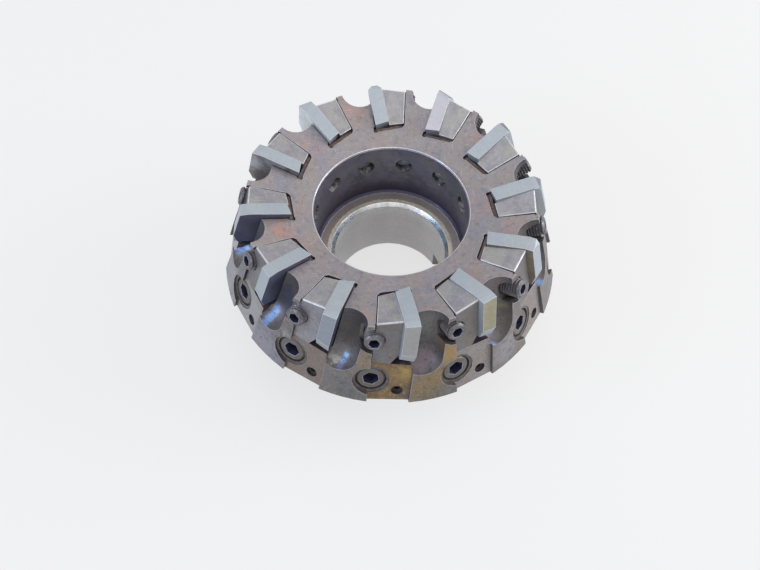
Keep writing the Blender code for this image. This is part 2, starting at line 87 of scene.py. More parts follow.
@dataclass(frozen=True)
class MillLayout:
    """Sizes of the mill in millimetres and degrees, as its CAD source has them."""

    stations: int = 12
    bore_radius: float = 19.05
    counterbore_radius: float = 25.4
    counterbore_floor: float = 25.0
    hub_radius: float = 41.25
    hub_height: float = 21.6
    rim_radius: float = 57.0
    rim_taper: float = 16.5
    face_start: float = 48.9
    face_dish: float = 13.5
    corner_height: float = 57.2
    corner_outside_rim: float = 2.05
    corner_ahead: float = 3.0
    lead: float = 15.0
    axial_rake: float = 7.2
    radial_rake: float = 3.1
    insert_width: float = 16.7
    insert_length: float = 18.0
    insert_thickness: float = 4.6
    seat_gap: float = 0.25
    pocket_depth: float = 20.5
    wedge_inset: float = 4.5
    wedge_width: float = 7.6
    wedge_taper: float = 13.2
    gullet_radius: float = 6.3
    gullet_inset: float = 1.6
    gullet_ahead: float = 3.0
    gullet_depth: float = 17.7
    flat_azimuth: float = -7.3
    flat_recess: float = 1.3
    flat_half_angle: float = 6.6
    rim_screw_behind: float = 12.1
    rim_screw_below: float = 28.1
    set_screw_behind: float = 3.6
    set_screw_height: float = 25.8
    wedge_screw_depth: float = 10.3
    wedge_screw_tilt: float = 2.9

    def cone_radius(self, height: float) -> float:
        """Radius of the rim's cone at a height."""
        return self.rim_radius - (height - self.hub_height) * tan(self.rim_taper)

    def face_height(self, radius: float) -> float:
        """Height of the dished cutting face at a radius."""
        return self.face_start + (radius - self.counterbore_radius) * tan(self.face_dish)

    def seat(self) -> Matrix:
        """Seat frame of station 1: p inward, q down the side edge, w back from the rake."""
        rake = Vector((-tan(self.radial_rake), 1.0, -tan(self.axial_rake))).normalized()
        down = Vector((tan(self.lead), 0.0, -1.0))
        down.y = -(rake.x * down.x + rake.z * down.z) / rake.y
        down.normalize()
        place = Matrix((rake.cross(down), down, -rake)).transposed().to_4x4()
        radius = self.cone_radius(self.corner_height) + self.corner_outside_rim
        place.translation = (radius, self.corner_ahead, self.corner_height)
        return place

    def about(self, number: int) -> Matrix:
        """Turn from station 1 on +X to a station, counter-clockwise."""
        return turn(360.0 * (number - 1) / self.stations)

    def station_seat(self, number: int) -> Matrix:
        """Seat frame of a station."""
        return self.about(number) @ self.seat()

    def wedge_far(self, inset: float) -> float:
        """Distance from the rake face to the wedge's far side at an inset."""
        near = self.insert_thickness + self.seat_gap
        return near + self.wedge_width - (inset - self.wedge_inset) * tan(self.wedge_taper)

    def flat_plane(self) -> tuple[Vector, Vector]:
        """A point of station 1's milled flat and the way that it faces."""
        taper = math.radians(self.rim_taper)
        about = turn(self.flat_azimuth)
        outward = about.to_3x3() @ Vector((math.cos(taper), 0.0, math.sin(taper)))
        distance = (self.rim_radius - self.flat_recess) * math.cos(math.radians(self.flat_half_angle))
        return about @ Vector((distance, 0.0, self.hub_height)), outward

    def on_flat(self, depth: float, behind: float) -> Matrix:
        """Frame on station 1's milled flat, Z pointing out of it.

        Args:
            depth: Distance down the insert's side edge.
            behind: Distance behind the rake face.

        Returns:
            The frame in millimetres.
        """
        point, outward = self.flat_plane()
        start = self.seat() @ Vector((0.0, depth, behind))
        inward = self.seat().to_3x3() @ Vector((1.0, 0.0, 0.0))
        inset = (point - start).dot(outward) / inward.dot(outward)
        place = outward.to_track_quat("Z", "Y").to_matrix().to_4x4()
        place.translation = self.seat() @ Vector((inset, depth, behind))
        return place

    def rim_screw(self) -> Matrix:
        """Frame of station 1's rim screw, at the middle of its spotface."""
        return self.on_flat(self.rim_screw_below, self.rim_screw_behind)

    def set_screw(self) -> Matrix:
        """Frame of station 1's small set screw, on the milled flat."""
        start = self.on_flat(0.0, self.set_screw_behind).translation.z
        step = self.on_flat(1.0, self.set_screw_behind).translation.z - start
        return self.on_flat((self.set_screw_height - start) / step, self.set_screw_behind)

    def wedge_screw(self) -> Matrix:
        """Frame of the wedge's screw in station 1, Z pointing out along the wedge."""
        taper = math.radians(self.wedge_taper)
        outward = Vector((-math.cos(taper), -tan(self.wedge_screw_tilt), math.sin(taper))).normalized()
        place = outward.to_track_quat("Z", "Y").to_matrix().to_4x4()
        middle = self.wedge_far(self.wedge_inset) + self.seat_gap / 2
        place.translation = (self.wedge_inset, self.wedge_screw_depth, middle)
        return self.seat() @ place


LAYOUT = MillLayout()
STATIONS = range(1, LAYOUT.stations + 1)


class Board:
    """Short ways to add shader nodes to one material and join them."""

    def __init__(self, name: str) -> None:
        """Start a node material.

        Args:
            name: Name of the material.
        """
        self.material = bpy.data.materials.new(name)
        self.material.use_nodes = True
        self.tree = self.material.node_tree
        self.shader = self.tree.nodes["Principled BSDF"]

    def add(self, kind: str, inputs: dict[str, object] | None = None, **settings: object) -> bpy.types.Node:
        """Add a node.

        Args:
            kind: Type of the node.
            inputs: Values or sockets for its inputs, by name.
            settings: The node's own settings.

        Returns:
            The node.
        """
        node = self.tree.nodes.new(kind)
        for key, value in settings.items():
            setattr(node, key, value)
        for key, value in (inputs or {}).items():
            if isinstance(value, Socket):
                self.tree.links.new(value, node.inputs[key])
            else:
                node.inputs[key].default_value = value
        return node

    def place(self, attribute: str | None, scale: Triple = (1.0, 1.0, 1.0)) -> Socket:
        """Coordinates in millimetres: the object's own, or an attribute that follows the piece.

        Args:
            attribute: Name of the attribute, or None for the object's coordinates.
            scale: Stretch along each axis.

        Returns:
            The coordinates.
        """
        if attribute is None:
            source = self.add("ShaderNodeTexCoord").outputs["Object"]
            factor = 1.0 / MM
        else:
            source = self.add("ShaderNodeAttribute", attribute_name=attribute).outputs["Vector"]
            factor = 1.0
        stretched = tuple(part * factor for part in scale)
        return self.add("ShaderNodeMapping", {"Vector": source, "Scale": stretched}).outputs["Vector"]

    def shift(self, where: Socket, distance: float) -> Socket:
        """Coordinates moved along every axis by a distance in millimetres."""
        inputs = {"Vector": where, "Location": (distance,) * 3}
        return self.add("ShaderNodeMapping", inputs).outputs["Vector"]

    def noise(self, where: Socket, scale: float, detail: float = 3.0, rough: float = 0.55) -> Socket:
        """Noise value, with its scale in cycles per millimetre."""
        inputs = {"Vector": where, "Scale": scale, "Detail": detail, "Roughness": rough}
        return self.add("ShaderNodeTexNoise", inputs).outputs["Fac"]

    def span(self, value: Socket, low: float, high: float, start: float = 0.0, end: float = 1.0) -> Socket:
        """Smooth step of a value from low to high, given as start to end."""
        inputs = {"Value": value, "From Min": low, "From Max": high, "To Min": start, "To Max": end}
        return self.add("ShaderNodeMapRange", inputs, interpolation_type="SMOOTHSTEP").outputs["Result"]

    def math(self, operation: str, one: object, two: object = 0.0) -> Socket:
        """Arithmetic on two values."""
        node = self.add("ShaderNodeMath", operation=operation)
        for socket, value in zip(node.inputs, (one, two)):
            if isinstance(value, Socket):
                self.tree.links.new(value, socket)
            else:
                socket.default_value = value
        return node.outputs[0]

    def blend(self, share: object, one: object, two: object, mode: str = "MIX") -> Socket:
        """Mix of two colours by a share."""
        node = self.add("ShaderNodeMix", data_type="RGBA", blend_type=mode)
        for index, value in ((0, share), (6, one), (7, two)):
            if isinstance(value, Socket):
                self.tree.links.new(value, node.inputs[index])
            elif index == 0:
                node.inputs[index].default_value = value
            else:
                node.inputs[index].default_value = (*value, 1.0)
        return node.outputs[2]

    def near(self, where: Socket, centre: Triple, reach: float, core: float = 0.25) -> Socket:
        """Share that falls smoothly from 1 in the core round a centre to 0 at a reach in millimetres."""
        apart = self.add("ShaderNodeVectorMath", operation="DISTANCE")
        self.tree.links.new(where, apart.inputs[0])
        apart.inputs[1].default_value = centre
        return self.span(apart.outputs["Value"], core * reach, reach, 1.0, 0.0)

    def bump(self, height: Socket, depth: float, under: object = None) -> Socket:
        """Bumped normal, with its depth in millimetres."""
        node = self.add("ShaderNodeBump", {"Height": height, "Distance": depth * MM, "Strength": 1.0})
        if under is not None:
            self.tree.links.new(under, node.inputs["Normal"])
        return node.outputs["Normal"]

    def dress(self, **inputs: object) -> bpy.types.Material:
        """Set the shader's inputs, with underscores for spaces.

        Returns:
            The finished material.
        """
        for key, value in inputs.items():
            socket = self.shader.inputs[key.replace("_", " ")]
            if isinstance(value, Socket):
                self.tree.links.new(value, socket)
            else:
                socket.default_value = value
        return self.material


@dataclass(frozen=True)
class Marking:
    """One coloured patch on a surface, in millimetres: some are real stains, others painted highlights,
    painted reflections or painted shade.
    """

    centre: Triple
    reach: float
    colour: Colour
    share: float
    ragged: bool = True


@dataclass(frozen=True)
class Ring:
    """Band of another colour round the mill's axis, in millimetres."""

    inner: float
    outer: float
    colour: Colour
    share: float = 0.9


@dataclass(frozen=True)
class Fade:
    """Change to another colour between two heights, in millimetres."""

    low: float
    high: float
    colour: Colour
    share: float = 1.0
    ragged: float = 1.5


MIDDLE_STEP = (0.3, 0.7)
PATCH_STEP = (0.42, 0.62)
TINT_STEP = (0.46, 0.64)
MARKING_STEP = (0.36, 0.6)
SPECK_STEP = (0.5, 0.72)
GLINT_STEP = (0.54, 0.7)
LINE_STEP = (0.38, 0.66)
SCRATCH_STEP = (0.62, 0.72)
SCRATCH_WAYS = ((0.10, 2.4, 2.4), (2.4, 0.14, 2.4))
SCRATCH_LIGHT = 1.45
LINE_DARK = 0.72
TINT_SHIFT = 91.0
GLINT_SHIFT = 37.0
GLINT_FINENESS = 1.8
RAGGED_SCALE = 0.5
MARKING_SCALE = 0.35
RING_SCALE = 0.8
RING_WAVER = 0.12
RING_BLUR = 0.1


@dataclass(frozen=True)
class MetalFinish:
    """Machined, ground or stained metal with mottling, specks, scratches, tool marks and grain; some
    finishes also carry painted highlights, painted reflections and painted shade.
    """

    name: str
    colour: Colour
    patch: Colour
    speck: Colour
    tint: Colour | None = None
    tint_scale: float = 0.055
    metallic: float = 0.35
    roughness: float = 0.46
    roughness_swing: float = 0.08
    patch_scale: float = 0.09
    patch_share: float = 0.8
    speck_scale: float = 0.9
    speck_share: float = 0.5
    scratch_share: float = 0.0
    grain_depth: float = 0.012
    grain_scale: float = 2.2
    line_stretch: Triple | None = None
    line_share: float = 0.2
    line_depth: float = 0.004
    attribute: str | None = None
    markings: tuple[Marking, ...] = ()
    rings: tuple[Ring, ...] = ()
    fade: Fade | None = None
    glint: Colour | None = None
    glint_share: float = 0.5

    def faded(self, board: Board, where: Socket, tone: Socket) -> Socket:
        """Colour that turns to the fade's below a ragged height."""
        height = board.add("ShaderNodeSeparateXYZ", {"Vector": where}).outputs["Z"]
        ragged = board.noise(where, RAGGED_SCALE, detail=4.0, rough=0.65)
        sway = board.span(ragged, *MIDDLE_STEP, -self.fade.ragged, self.fade.ragged)
        uneven = board.math("ADD", height, sway)
        share = board.span(uneven, self.fade.low, self.fade.high, self.fade.share, 0.0)
        return board.blend(share, tone, self.fade.colour)

    def ringed(self, board: Board, where: Socket, tone: Socket) -> Socket:
        """Colour with its rings round the mill's axis."""
        flat = board.add("ShaderNodeVectorMath", {0: where, 1: (1.0, 1.0, 0.0)}, operation="MULTIPLY")
        radius = board.add("ShaderNodeVectorMath", {0: flat.outputs["Vector"]}, operation="LENGTH")
        sway = board.span(board.noise(where, RING_SCALE), *MIDDLE_STEP, -RING_WAVER, RING_WAVER)
        uneven = board.math("ADD", radius.outputs["Value"], sway)
        for ring in self.rings:
            rise = board.span(uneven, ring.inner - RING_BLUR, ring.inner + RING_BLUR)
            fall = board.span(uneven, ring.outer - RING_BLUR, ring.outer + RING_BLUR, ring.share, 0.0)
            tone = board.blend(board.math("MULTIPLY", rise, fall), tone, ring.colour)
        return tone

    def mottled(self, board: Board, where: Socket, patches: Socket) -> Socket:
        """Colour with its patches, tint, fade, rings and markings, which include painted highlights and
        painted shade.
        """
        patch = board.math("MULTIPLY", board.span(patches, *PATCH_STEP), self.patch_share)
        tone = board.blend(patch, self.colour, self.patch)
        if self.tint is not None:
            cloud = board.noise(board.shift(where, TINT_SHIFT), self.tint_scale, detail=5.0, rough=0.65)
            tone = board.blend(board.span(cloud, *TINT_STEP), tone, self.tint)
        if self.fade is not None:
            tone = self.faded(board, where, tone)
        if self.rings:
            tone = self.ringed(board, where, tone)
        ragged = board.span(board.noise(where, MARKING_SCALE, detail=4.0, rough=0.65), *MARKING_STEP)
        for marking in self.markings:
            shape = board.near(where, marking.centre, marking.reach)
            if marking.ragged:
                shape = board.math("MULTIPLY", shape, ragged)
            tone = board.blend(board.math("MULTIPLY", shape, marking.share), tone, marking.colour)
        return tone

    def scratched(self, board: Board, tone: Socket) -> Socket:
        """Colour with thin light scratches in two directions."""
        lighter = tuple(min(1.0, SCRATCH_LIGHT * part) for part in self.colour)
        for stretch in SCRATCH_WAYS:
            streaks = board.noise(board.place(self.attribute, stretch), 1.0, detail=2.0, rough=0.5)
            share = board.math("MULTIPLY", board.span(streaks, *SCRATCH_STEP), self.scratch_share)
            tone = board.blend(share, tone, lighter)
        return tone

    def material(self) -> bpy.types.Material:
        """Build the node material.

        Returns:
            The material.
        """
        board = Board(self.name)
        where = board.place(self.attribute)
        patches = board.noise(where, self.patch_scale, detail=4.0, rough=0.6)
        tone = self.mottled(board, where, patches)
        if self.scratch_share > 0.0:
            tone = self.scratched(board, tone)
        specks = board.noise(where, self.speck_scale, rough=0.7)
        speck = board.math("MULTIPLY", board.span(specks, *SPECK_STEP), self.speck_share)
        tone = board.blend(speck, tone, self.speck)
        if self.glint is not None:
            fineness = GLINT_FINENESS * self.speck_scale
            fine = board.noise(board.shift(where, GLINT_SHIFT), fineness, detail=2.0, rough=0.6)
            share = board.math("MULTIPLY", board.span(fine, *GLINT_STEP), self.glint_share)
            tone = board.blend(share, tone, self.glint)
        grain = board.noise(where, self.grain_scale, rough=0.6)
        normal = board.bump(grain, self.grain_depth)
        if self.line_stretch is not None:
            lines = board.noise(board.place(self.attribute, self.line_stretch), 1.0, detail=2.0, rough=0.6)
            share = board.math("MULTIPLY", board.span(lines, *LINE_STEP), self.line_share)
            tone = board.blend(share, tone, tuple(LINE_DARK * part for part in self.colour))
            normal = board.bump(lines, self.line_depth, normal)
        swing = board.span(patches, *MIDDLE_STEP, self.roughness - self.roughness_swing,
                           self.roughness + self.roughness_swing)
        return board.dress(Base_Color=tone, Roughness=swing, Normal=normal, Metallic=self.metallic)


class Zone(Enum):
    """Surfaces of the cutter body that have finishes of their own."""

    FACE = "face"
    RIM = "rim"
    STEP = "step"
    FLAT_GREY = "flat_grey"
    FLAT_PINK = "flat_pink"
    FLAT_GOLD = "flat_gold"
    GULLET = "gullet"
    POCKET = "pocket"
    COUNTERBORE = "counterbore"
    LEDGE = "ledge"
    MOUTH = "mouth"
    BORE = "bore"
    HOLE = "hole"
    HOLE_MOUTH = "hole_mouth"
    SET_SCREW = "set_screw"
    HUB = "hub"


PINK = (0.37, 0.235, 0.21)
RUST = (0.46, 0.24, 0.16)
LAVENDER = (0.27, 0.26, 0.32)
# Painted highlight colours: sky-blue and lavender reflections of the bluish window lamp.
PAINTED_SKY_HIGHLIGHT = (0.33, 0.52, 0.93)
PAINTED_LAVENDER_HIGHLIGHT = (0.33, 0.35, 0.60)
GOLDEN = (0.235, 0.17, 0.085)
# Painted shade colour, for the dark upper gullets under the inserts' rake faces.
PAINTED_GULLET_SHADE = (0.05, 0.055, 0.10)
FACE_STAINS = (
    Marking((-37.5, -5.7, 51.9), 6.5, RUST, 0.8),
    Marking((-39.0, 2.5, 52.5), 6.0, PINK, 0.6),
    Marking((-9.6, 38.0, 52.0), 8.0, PINK, 0.7),
    Marking((-25.0, 27.0, 52.0), 9.0, PINK, 0.5),
    Marking((-33.0, -14.0, 51.0), 11.0, PINK, 0.55),
    Marking((-5.5, -28.4, 49.8), 8.0, LAVENDER, 0.7),
    Marking((12.4, -24.6, 49.4), 8.0, LAVENDER, 0.6),
    Marking((-13.4, -41.2, 52.7), 5.0, PINK, 0.6),
    Marking((20.0, -33.0, 52.0), 7.0, PINK, 0.5),
    Marking((28.2, -2.2, 49.6), 8.0, PINK, 0.45),
    Marking((37.0, -14.0, 52.0), 7.0, PINK, 0.5),
    Marking((32.4, 24.9, 52.6), 6.0, PINK, 0.6),
    Marking((20.0, 33.0, 52.6), 6.0, PINK, 0.4),
)
RIM_STAINS_AND_PAINTED_LIGHT = (
    Marking((13.0, -49.9, 40.0), 7.0, (0.34, 0.22, 0.085), 1.0, False),
    Marking((8.0, -53.2, 31.5), 9.0, GOLDEN, 1.0, False),
    Marking((3.0, -55.0, 27.0), 8.0, GOLDEN, 0.9, False),
    Marking((6.2, -56.3, 23.0), 8.0, (0.15, 0.125, 0.07), 0.8),
    Marking((14.0, -54.0, 24.0), 8.0, (0.14, 0.135, 0.11), 0.9),
    Marking((-14.2, -49.6, 40.0), 6.0, (0.27, 0.195, 0.13), 0.9, False),
    Marking((-12.1, -49.8, 35.5), 2.4, (0.40, 0.38, 0.37), 1.0),
    Marking((32.0, -44.7, 28.3), 8.0, (0.27, 0.265, 0.285), 0.9, False),
    Marking((34.5, -42.0, 34.0), 7.0, (0.27, 0.265, 0.285), 0.8),
    Marking((-11.5, -46.1, 53.0), 7.0, PINK, 0.6),
    Marking((-20.7, -52.4, 23.0), 9.0, (0.115, 0.12, 0.105), 0.8),
    Marking((-53.9, -3.6, 31.5), 6.0, LAVENDER, 0.5),
    Marking((-38.2, -35.9, 36.9), 3.5, (0.36, 0.34, 0.32), 0.9),
    # Painted light: these two wide, even, lighter patches light the rim's left side.
    Marking((-46.3, -33.0, 24.0), 15.0, (0.27, 0.26, 0.31), 0.85, False),
    Marking((-55.0, -8.0, 26.0), 15.0, (0.33, 0.325, 0.355), 0.85, False),
)
FLAT_STAINS_AND_PAINTED_LIGHT = (
    Marking((20.6, -49.3, 30.0), 9.0, (0.255, 0.195, 0.17), 0.8),
    # Painted light: these two wide, even, lighter patches light the flats on the left side.
    Marking((-49.1, -20.5, 28.0), 15.0, (0.36, 0.35, 0.36), 0.85, False),
    Marking((-52.8, 6.8, 28.0), 15.0, (0.38, 0.375, 0.395), 0.85, False),
)
# Gullet markings: real stains, painted highlight streaks in the scoops, and painted shade high in two
# gullets.
GULLET_STAINS_AND_PAINTED_LIGHT = (
    Marking((-23.4, -45.0, 33.6), 3.8, (0.54, 0.52, 0.49), 0.95),
    Marking((-42.6, -31.6, 34.0), 3.0, (0.22, 0.20, 0.24), 0.8),
    # Painted highlight: sky-blue reflection streak in a gullet scoop, made of five patches.
    Marking((-44.3, -29.4, 33.2), 2.0, PAINTED_SKY_HIGHLIGHT, 0.9, False),
    Marking((-43.2, -28.2, 33.3), 2.1, PAINTED_SKY_HIGHLIGHT, 0.9, False),
    Marking((-42.0, -27.2, 33.5), 2.1, PAINTED_SKY_HIGHLIGHT, 0.9, False),
    Marking((-40.8, -26.3, 34.4), 2.0, PAINTED_SKY_HIGHLIGHT, 0.9, False),
    Marking((-39.7, -25.5, 35.4), 1.9, PAINTED_SKY_HIGHLIGHT, 0.8, False),
    # Painted highlight: lavender and sky-blue reflection streak in another scoop.
    Marking((-22.2, -48.3, 33.3), 1.6, PAINTED_LAVENDER_HIGHLIGHT, 0.9, False),
    Marking((-21.5, -47.0, 33.3), 1.6, PAINTED_LAVENDER_HIGHLIGHT, 0.9, False),
    Marking((-20.5, -45.7, 33.5), 1.6, PAINTED_SKY_HIGHLIGHT, 0.9, False),
    Marking((-19.4, -44.2, 34.5), 1.4, PAINTED_SKY_HIGHLIGHT, 0.9, False),
    # Painted highlights: sky-blue reflections in three more scoops.
    Marking((-50.9, -0.8, 34.0), 2.4, PAINTED_SKY_HIGHLIGHT, 0.8, False),
    Marking((-48.3, -1.4, 34.6), 2.4, PAINTED_SKY_HIGHLIGHT, 0.8, False),
    Marking((46.9, -23.9, 33.4), 2.5, PAINTED_SKY_HIGHLIGHT, 0.8, False),
    Marking((27.4, -45.0, 34.4), 2.0, PAINTED_SKY_HIGHLIGHT, 0.9, False),
    # Painted shade: dark patches high in two gullets, under the insert's rake.
    Marking((-36.8, -24.8, 43.0), 9.0, PAINTED_GULLET_SHADE, 0.9, False),
    Marking((-46.0, 2.0, 44.0), 9.0, PAINTED_GULLET_SHADE, 0.9, False),
    Marking((-13.1, -43.6, 46.0), 5.0, (0.17, 0.10, 0.095), 0.7),
    Marking((11.1, -46.8, 43.0), 4.5, (0.30, 0.19, 0.09), 0.8),
    Marking((7.5, -43.3, 47.2), 9.0, (0.20, 0.20, 0.19), 0.9, False),
    Marking((4.9, -48.4, 34.5), 6.5, (0.26, 0.205, 0.23), 0.9, False),
    Marking((28.5, -33.4, 49.0), 8.0, (0.20, 0.165, 0.17), 0.9, False),
    Marking((31.5, -35.0, 43.0), 5.0, (0.27, 0.24, 0.14), 0.8),
    Marking((32.2, -38.1, 36.3), 6.0, (0.23, 0.17, 0.15), 0.8),
)
GOLD_STAINS = (
    Marking((-1.8, -52.1, 33.5), 5.0, (0.45, 0.32, 0.09), 0.8),
    Marking((-5.5, -52.6, 31.0), 6.0, (0.27, 0.165, 0.075), 0.7),
    Marking((-2.6, -54.3, 23.5), 5.0, (0.11, 0.085, 0.095), 0.8),
)
# Counterbore markings: lighter lavender and grey patches, and dark navy patches low on the wall that are
# painted shade.
COUNTERBORE_STAINS_AND_PAINTED_SHADE = (
    Marking((-23.4, 9.9, 45.0), 6.0, (0.25, 0.26, 0.36), 0.8),
    Marking((-21.0, 14.0, 46.0), 5.0, (0.25, 0.26, 0.36), 0.7),
    Marking((-7.9, 24.1, 34.0), 9.0, (0.07, 0.07, 0.10), 0.8),
    Marking((12.0, 22.4, 33.0), 9.0, (0.07, 0.07, 0.10), 0.8),
    Marking((2.0, 25.3, 44.0), 8.0, (0.24, 0.23, 0.25), 0.6),
    Marking((22.0, 12.7, 34.0), 8.0, (0.08, 0.075, 0.12), 0.8),
    Marking((24.6, -6.0, 38.0), 8.0, (0.26, 0.25, 0.28), 0.6),
)
LEDGE_RINGS_AND_PAINTED_SHADOW = (
    # Painted shadow: dark band on the ledge's outer edge, at the foot of the counterbore wall.
    Ring(24.5, 26.0, (0.12, 0.115, 0.16), 0.9),
    Ring(24.2, 24.5, (0.75, 0.74, 0.74), 0.6),
    Ring(18.0, 21.7, (0.88, 0.82, 0.66), 0.85),
)
# Painted highlights: bluish-white reflections on the bore mouth, on the right and left.
MOUTH_PAINTED_HIGHLIGHTS = (
    Marking((18.5, 6.0, 24.5), 9.0, (0.62, 0.80, 0.97), 0.9, False),
    Marking((-18.5, 7.0, 24.5), 7.0, (0.66, 0.82, 0.95), 0.8, False),
)

BODY_FINISHES: dict[Zone, MetalFinish] = {
    Zone.FACE: MetalFinish(
        "body_face_steel", (0.27, 0.246, 0.248), (0.305, 0.252, 0.243), (0.16, 0.145, 0.165),
        tint=(0.235, 0.23, 0.27), tint_scale=0.11, patch_scale=0.13, patch_share=0.9, speck_scale=0.5,
        speck_share=0.65, scratch_share=0.7, grain_depth=0.03, markings=FACE_STAINS,
        glint=(0.37, 0.35, 0.345), glint_share=0.35),
    Zone.RIM: MetalFinish(
        "body_rim_steel", (0.175, 0.165, 0.16), (0.205, 0.17, 0.15), (0.09, 0.085, 0.09),
        tint=(0.15, 0.15, 0.175), tint_scale=0.11, patch_scale=0.12, speck_scale=0.6, speck_share=0.75,
        scratch_share=0.7, grain_depth=0.03, markings=RIM_STAINS_AND_PAINTED_LIGHT, glint=(0.3, 0.28, 0.27)),
    Zone.STEP: MetalFinish("body_step_steel", (0.09, 0.085, 0.08), (0.13, 0.1, 0.085), (0.05, 0.05, 0.05)),
    Zone.FLAT_GREY: MetalFinish(
        "flat_grey_steel", (0.27, 0.255, 0.255), (0.24, 0.2, 0.185), (0.13, 0.12, 0.12), scratch_share=0.7,
        glint=(0.36, 0.34, 0.33), markings=FLAT_STAINS_AND_PAINTED_LIGHT),
    Zone.FLAT_PINK: MetalFinish(
        "flat_pink_steel", (0.2, 0.155, 0.13), (0.23, 0.195, 0.19), (0.12, 0.09, 0.075), patch_scale=0.2,
        scratch_share=0.6, glint=(0.31, 0.27, 0.25)),
    Zone.FLAT_GOLD: MetalFinish(
        "flat_gold_steel", (0.215, 0.135, 0.055), (0.115, 0.088, 0.075), (0.4, 0.27, 0.09), patch_scale=0.3,
        speck_scale=0.8, markings=GOLD_STAINS, speck_share=0.8, scratch_share=0.3, glint=(0.16, 0.14, 0.13),
        glint_share=0.7),
    # Gullets: the near-black colour is painted shade in the deep upper gullet, under the insert's rake face;
    # from 43 mm down to 36 mm height it fades to the lighter grey of the steel lower down.
    Zone.GULLET: MetalFinish(
        "gullet_steel", (0.085, 0.083, 0.095), (0.13, 0.12, 0.105), (0.05, 0.05, 0.065), metallic=0.4,
        roughness=0.52, patch_scale=0.15, speck_share=0.6, scratch_share=0.5, grain_depth=0.06,
        glint=(0.17, 0.16, 0.16), fade=Fade(36.0, 43.0, (0.22, 0.2, 0.205), 0.85), markings=GULLET_STAINS_AND_PAINTED_LIGHT),
    # Pockets: the near-black navy colour is painted shade in the gaps under and beside insert and wedge; the
    # reddish-brown patches are the pocket's rough steel.
    Zone.POCKET: MetalFinish(
        "pocket_steel", (0.06, 0.052, 0.08), (0.15, 0.095, 0.085), (0.04, 0.035, 0.05), roughness=0.6,
        grain_depth=0.05, patch_scale=0.3),
    # Counterbore: the fade to dark navy from 35 mm down to 26 mm height is painted shadow at the foot of the
    # wall, by the ledge.
    Zone.COUNTERBORE: MetalFinish(
        "counterbore_steel", (0.135, 0.128, 0.18), (0.195, 0.19, 0.2), (0.075, 0.07, 0.12), metallic=0.5,
        roughness=0.4, patch_scale=0.14, speck_scale=0.3, speck_share=0.6, line_stretch=(0.04, 0.04, 2.0),
        line_share=0.3, markings=COUNTERBORE_STAINS_AND_PAINTED_SHADE, fade=Fade(26.0, 35.0, (0.065, 0.058, 0.115), 0.85)),
    Zone.LEDGE: MetalFinish(
        "ledge_steel", (0.38, 0.32, 0.31), (0.46, 0.41, 0.39), (0.24, 0.2, 0.2), patch_scale=0.3,
        line_stretch=(0.3, 0.3, 0.3), line_share=0.3, rings=LEDGE_RINGS_AND_PAINTED_SHADOW),
    Zone.MOUTH: MetalFinish(
        "bore_mouth_steel", (0.86, 0.88, 0.9), (0.74, 0.73, 0.7), (0.45, 0.44, 0.43), metallic=0.85,
        roughness=0.26, patch_scale=0.3, markings=MOUTH_PAINTED_HIGHLIGHTS),
    Zone.BORE: MetalFinish(
        "bore_steel", (0.74, 0.73, 0.73), (0.66, 0.65, 0.65), (0.48, 0.47, 0.465), roughness=0.4,
        patch_share=0.5, line_stretch=(0.03, 0.03, 1.2), line_share=0.25,
        fade=Fade(20.4, 20.7, (0.645, 0.63, 0.625), 0.9, 0.1)),
    Zone.HOLE: MetalFinish(
        "hole_steel", (0.15, 0.14, 0.145), (0.11, 0.085, 0.08), (0.06, 0.055, 0.065), roughness=0.5,
        patch_scale=0.4),
    Zone.HOLE_MOUTH: MetalFinish(
        "hole_mouth_steel", (0.07, 0.065, 0.07), (0.4, 0.38, 0.37), (0.03, 0.03, 0.035), patch_scale=0.45,
        speck_scale=0.7),
    Zone.SET_SCREW: MetalFinish(
        "set_screw_steel", (0.05, 0.05, 0.06), (0.09, 0.08, 0.08), (0.02, 0.02, 0.03), patch_scale=0.5),
    Zone.HUB: MetalFinish(
        "hub_steel", (0.25, 0.235, 0.23), (0.22, 0.2, 0.19), (0.16, 0.15, 0.15),
        line_stretch=(0.03, 0.03, 1.0), line_share=0.2),
}
# Rounded body edges: worn steel with painted highlight, lighter than the faces they join.
BODY_EDGE = MetalFinish(
    "body_worn_edge_and_highlight", (0.46, 0.43, 0.44), (0.3, 0.26, 0.255), (0.21, 0.2, 0.21), patch_scale=0.35)
# Painted highlight: near-white line on the counterbore's rounded top edge.
LIP_PAINTED_HIGHLIGHT = MetalFinish(
    "counterbore_lip_highlight", (0.72, 0.72, 0.77), (0.56, 0.55, 0.58), (0.38, 0.36, 0.38), metallic=0.5,
    roughness=0.3, patch_scale=0.2)

GRIT = MetalFinish(
    "packed_grit", (0.17, 0.115, 0.105), (0.24, 0.19, 0.18), (0.06, 0.045, 0.045), metallic=0.1,
    roughness=0.8, patch_scale=0.5, speck_scale=1.6, speck_share=0.8, grain_depth=0.12, grain_scale=1.6)


class Carbide(Enum):
    """Surfaces that an insert can have."""

    GROUND = "ground"
    WORN = "worn"
    STAINED = "stained"
    RAKE = "rake"
    # The next two are the rake carbide with a painted bright reflection and a painted dark reflection.
    RAKE_PALE = "rake_painted_bright_reflection"
    RAKE_DARK = "rake_painted_dark_reflection"
    # Rounded insert edges, lighter as painted highlight.
    EDGE = "edge"
    BROKEN = "broken"
    LAVENDER = "lavender"
    BROWNED = "browned"
    # Rake carbide with a painted grey reflection.
    RAKE_GREY = "rake_painted_grey_reflection"
    # Ground carbide darkened as painted shade.
    DULL = "ground_painted_shade"

    @property
    def slot(self) -> int:
        """Number of the surface's material on an insert."""
        return list(Carbide).index(self)


GRINDING = (1.6, 1.6, 0.12)


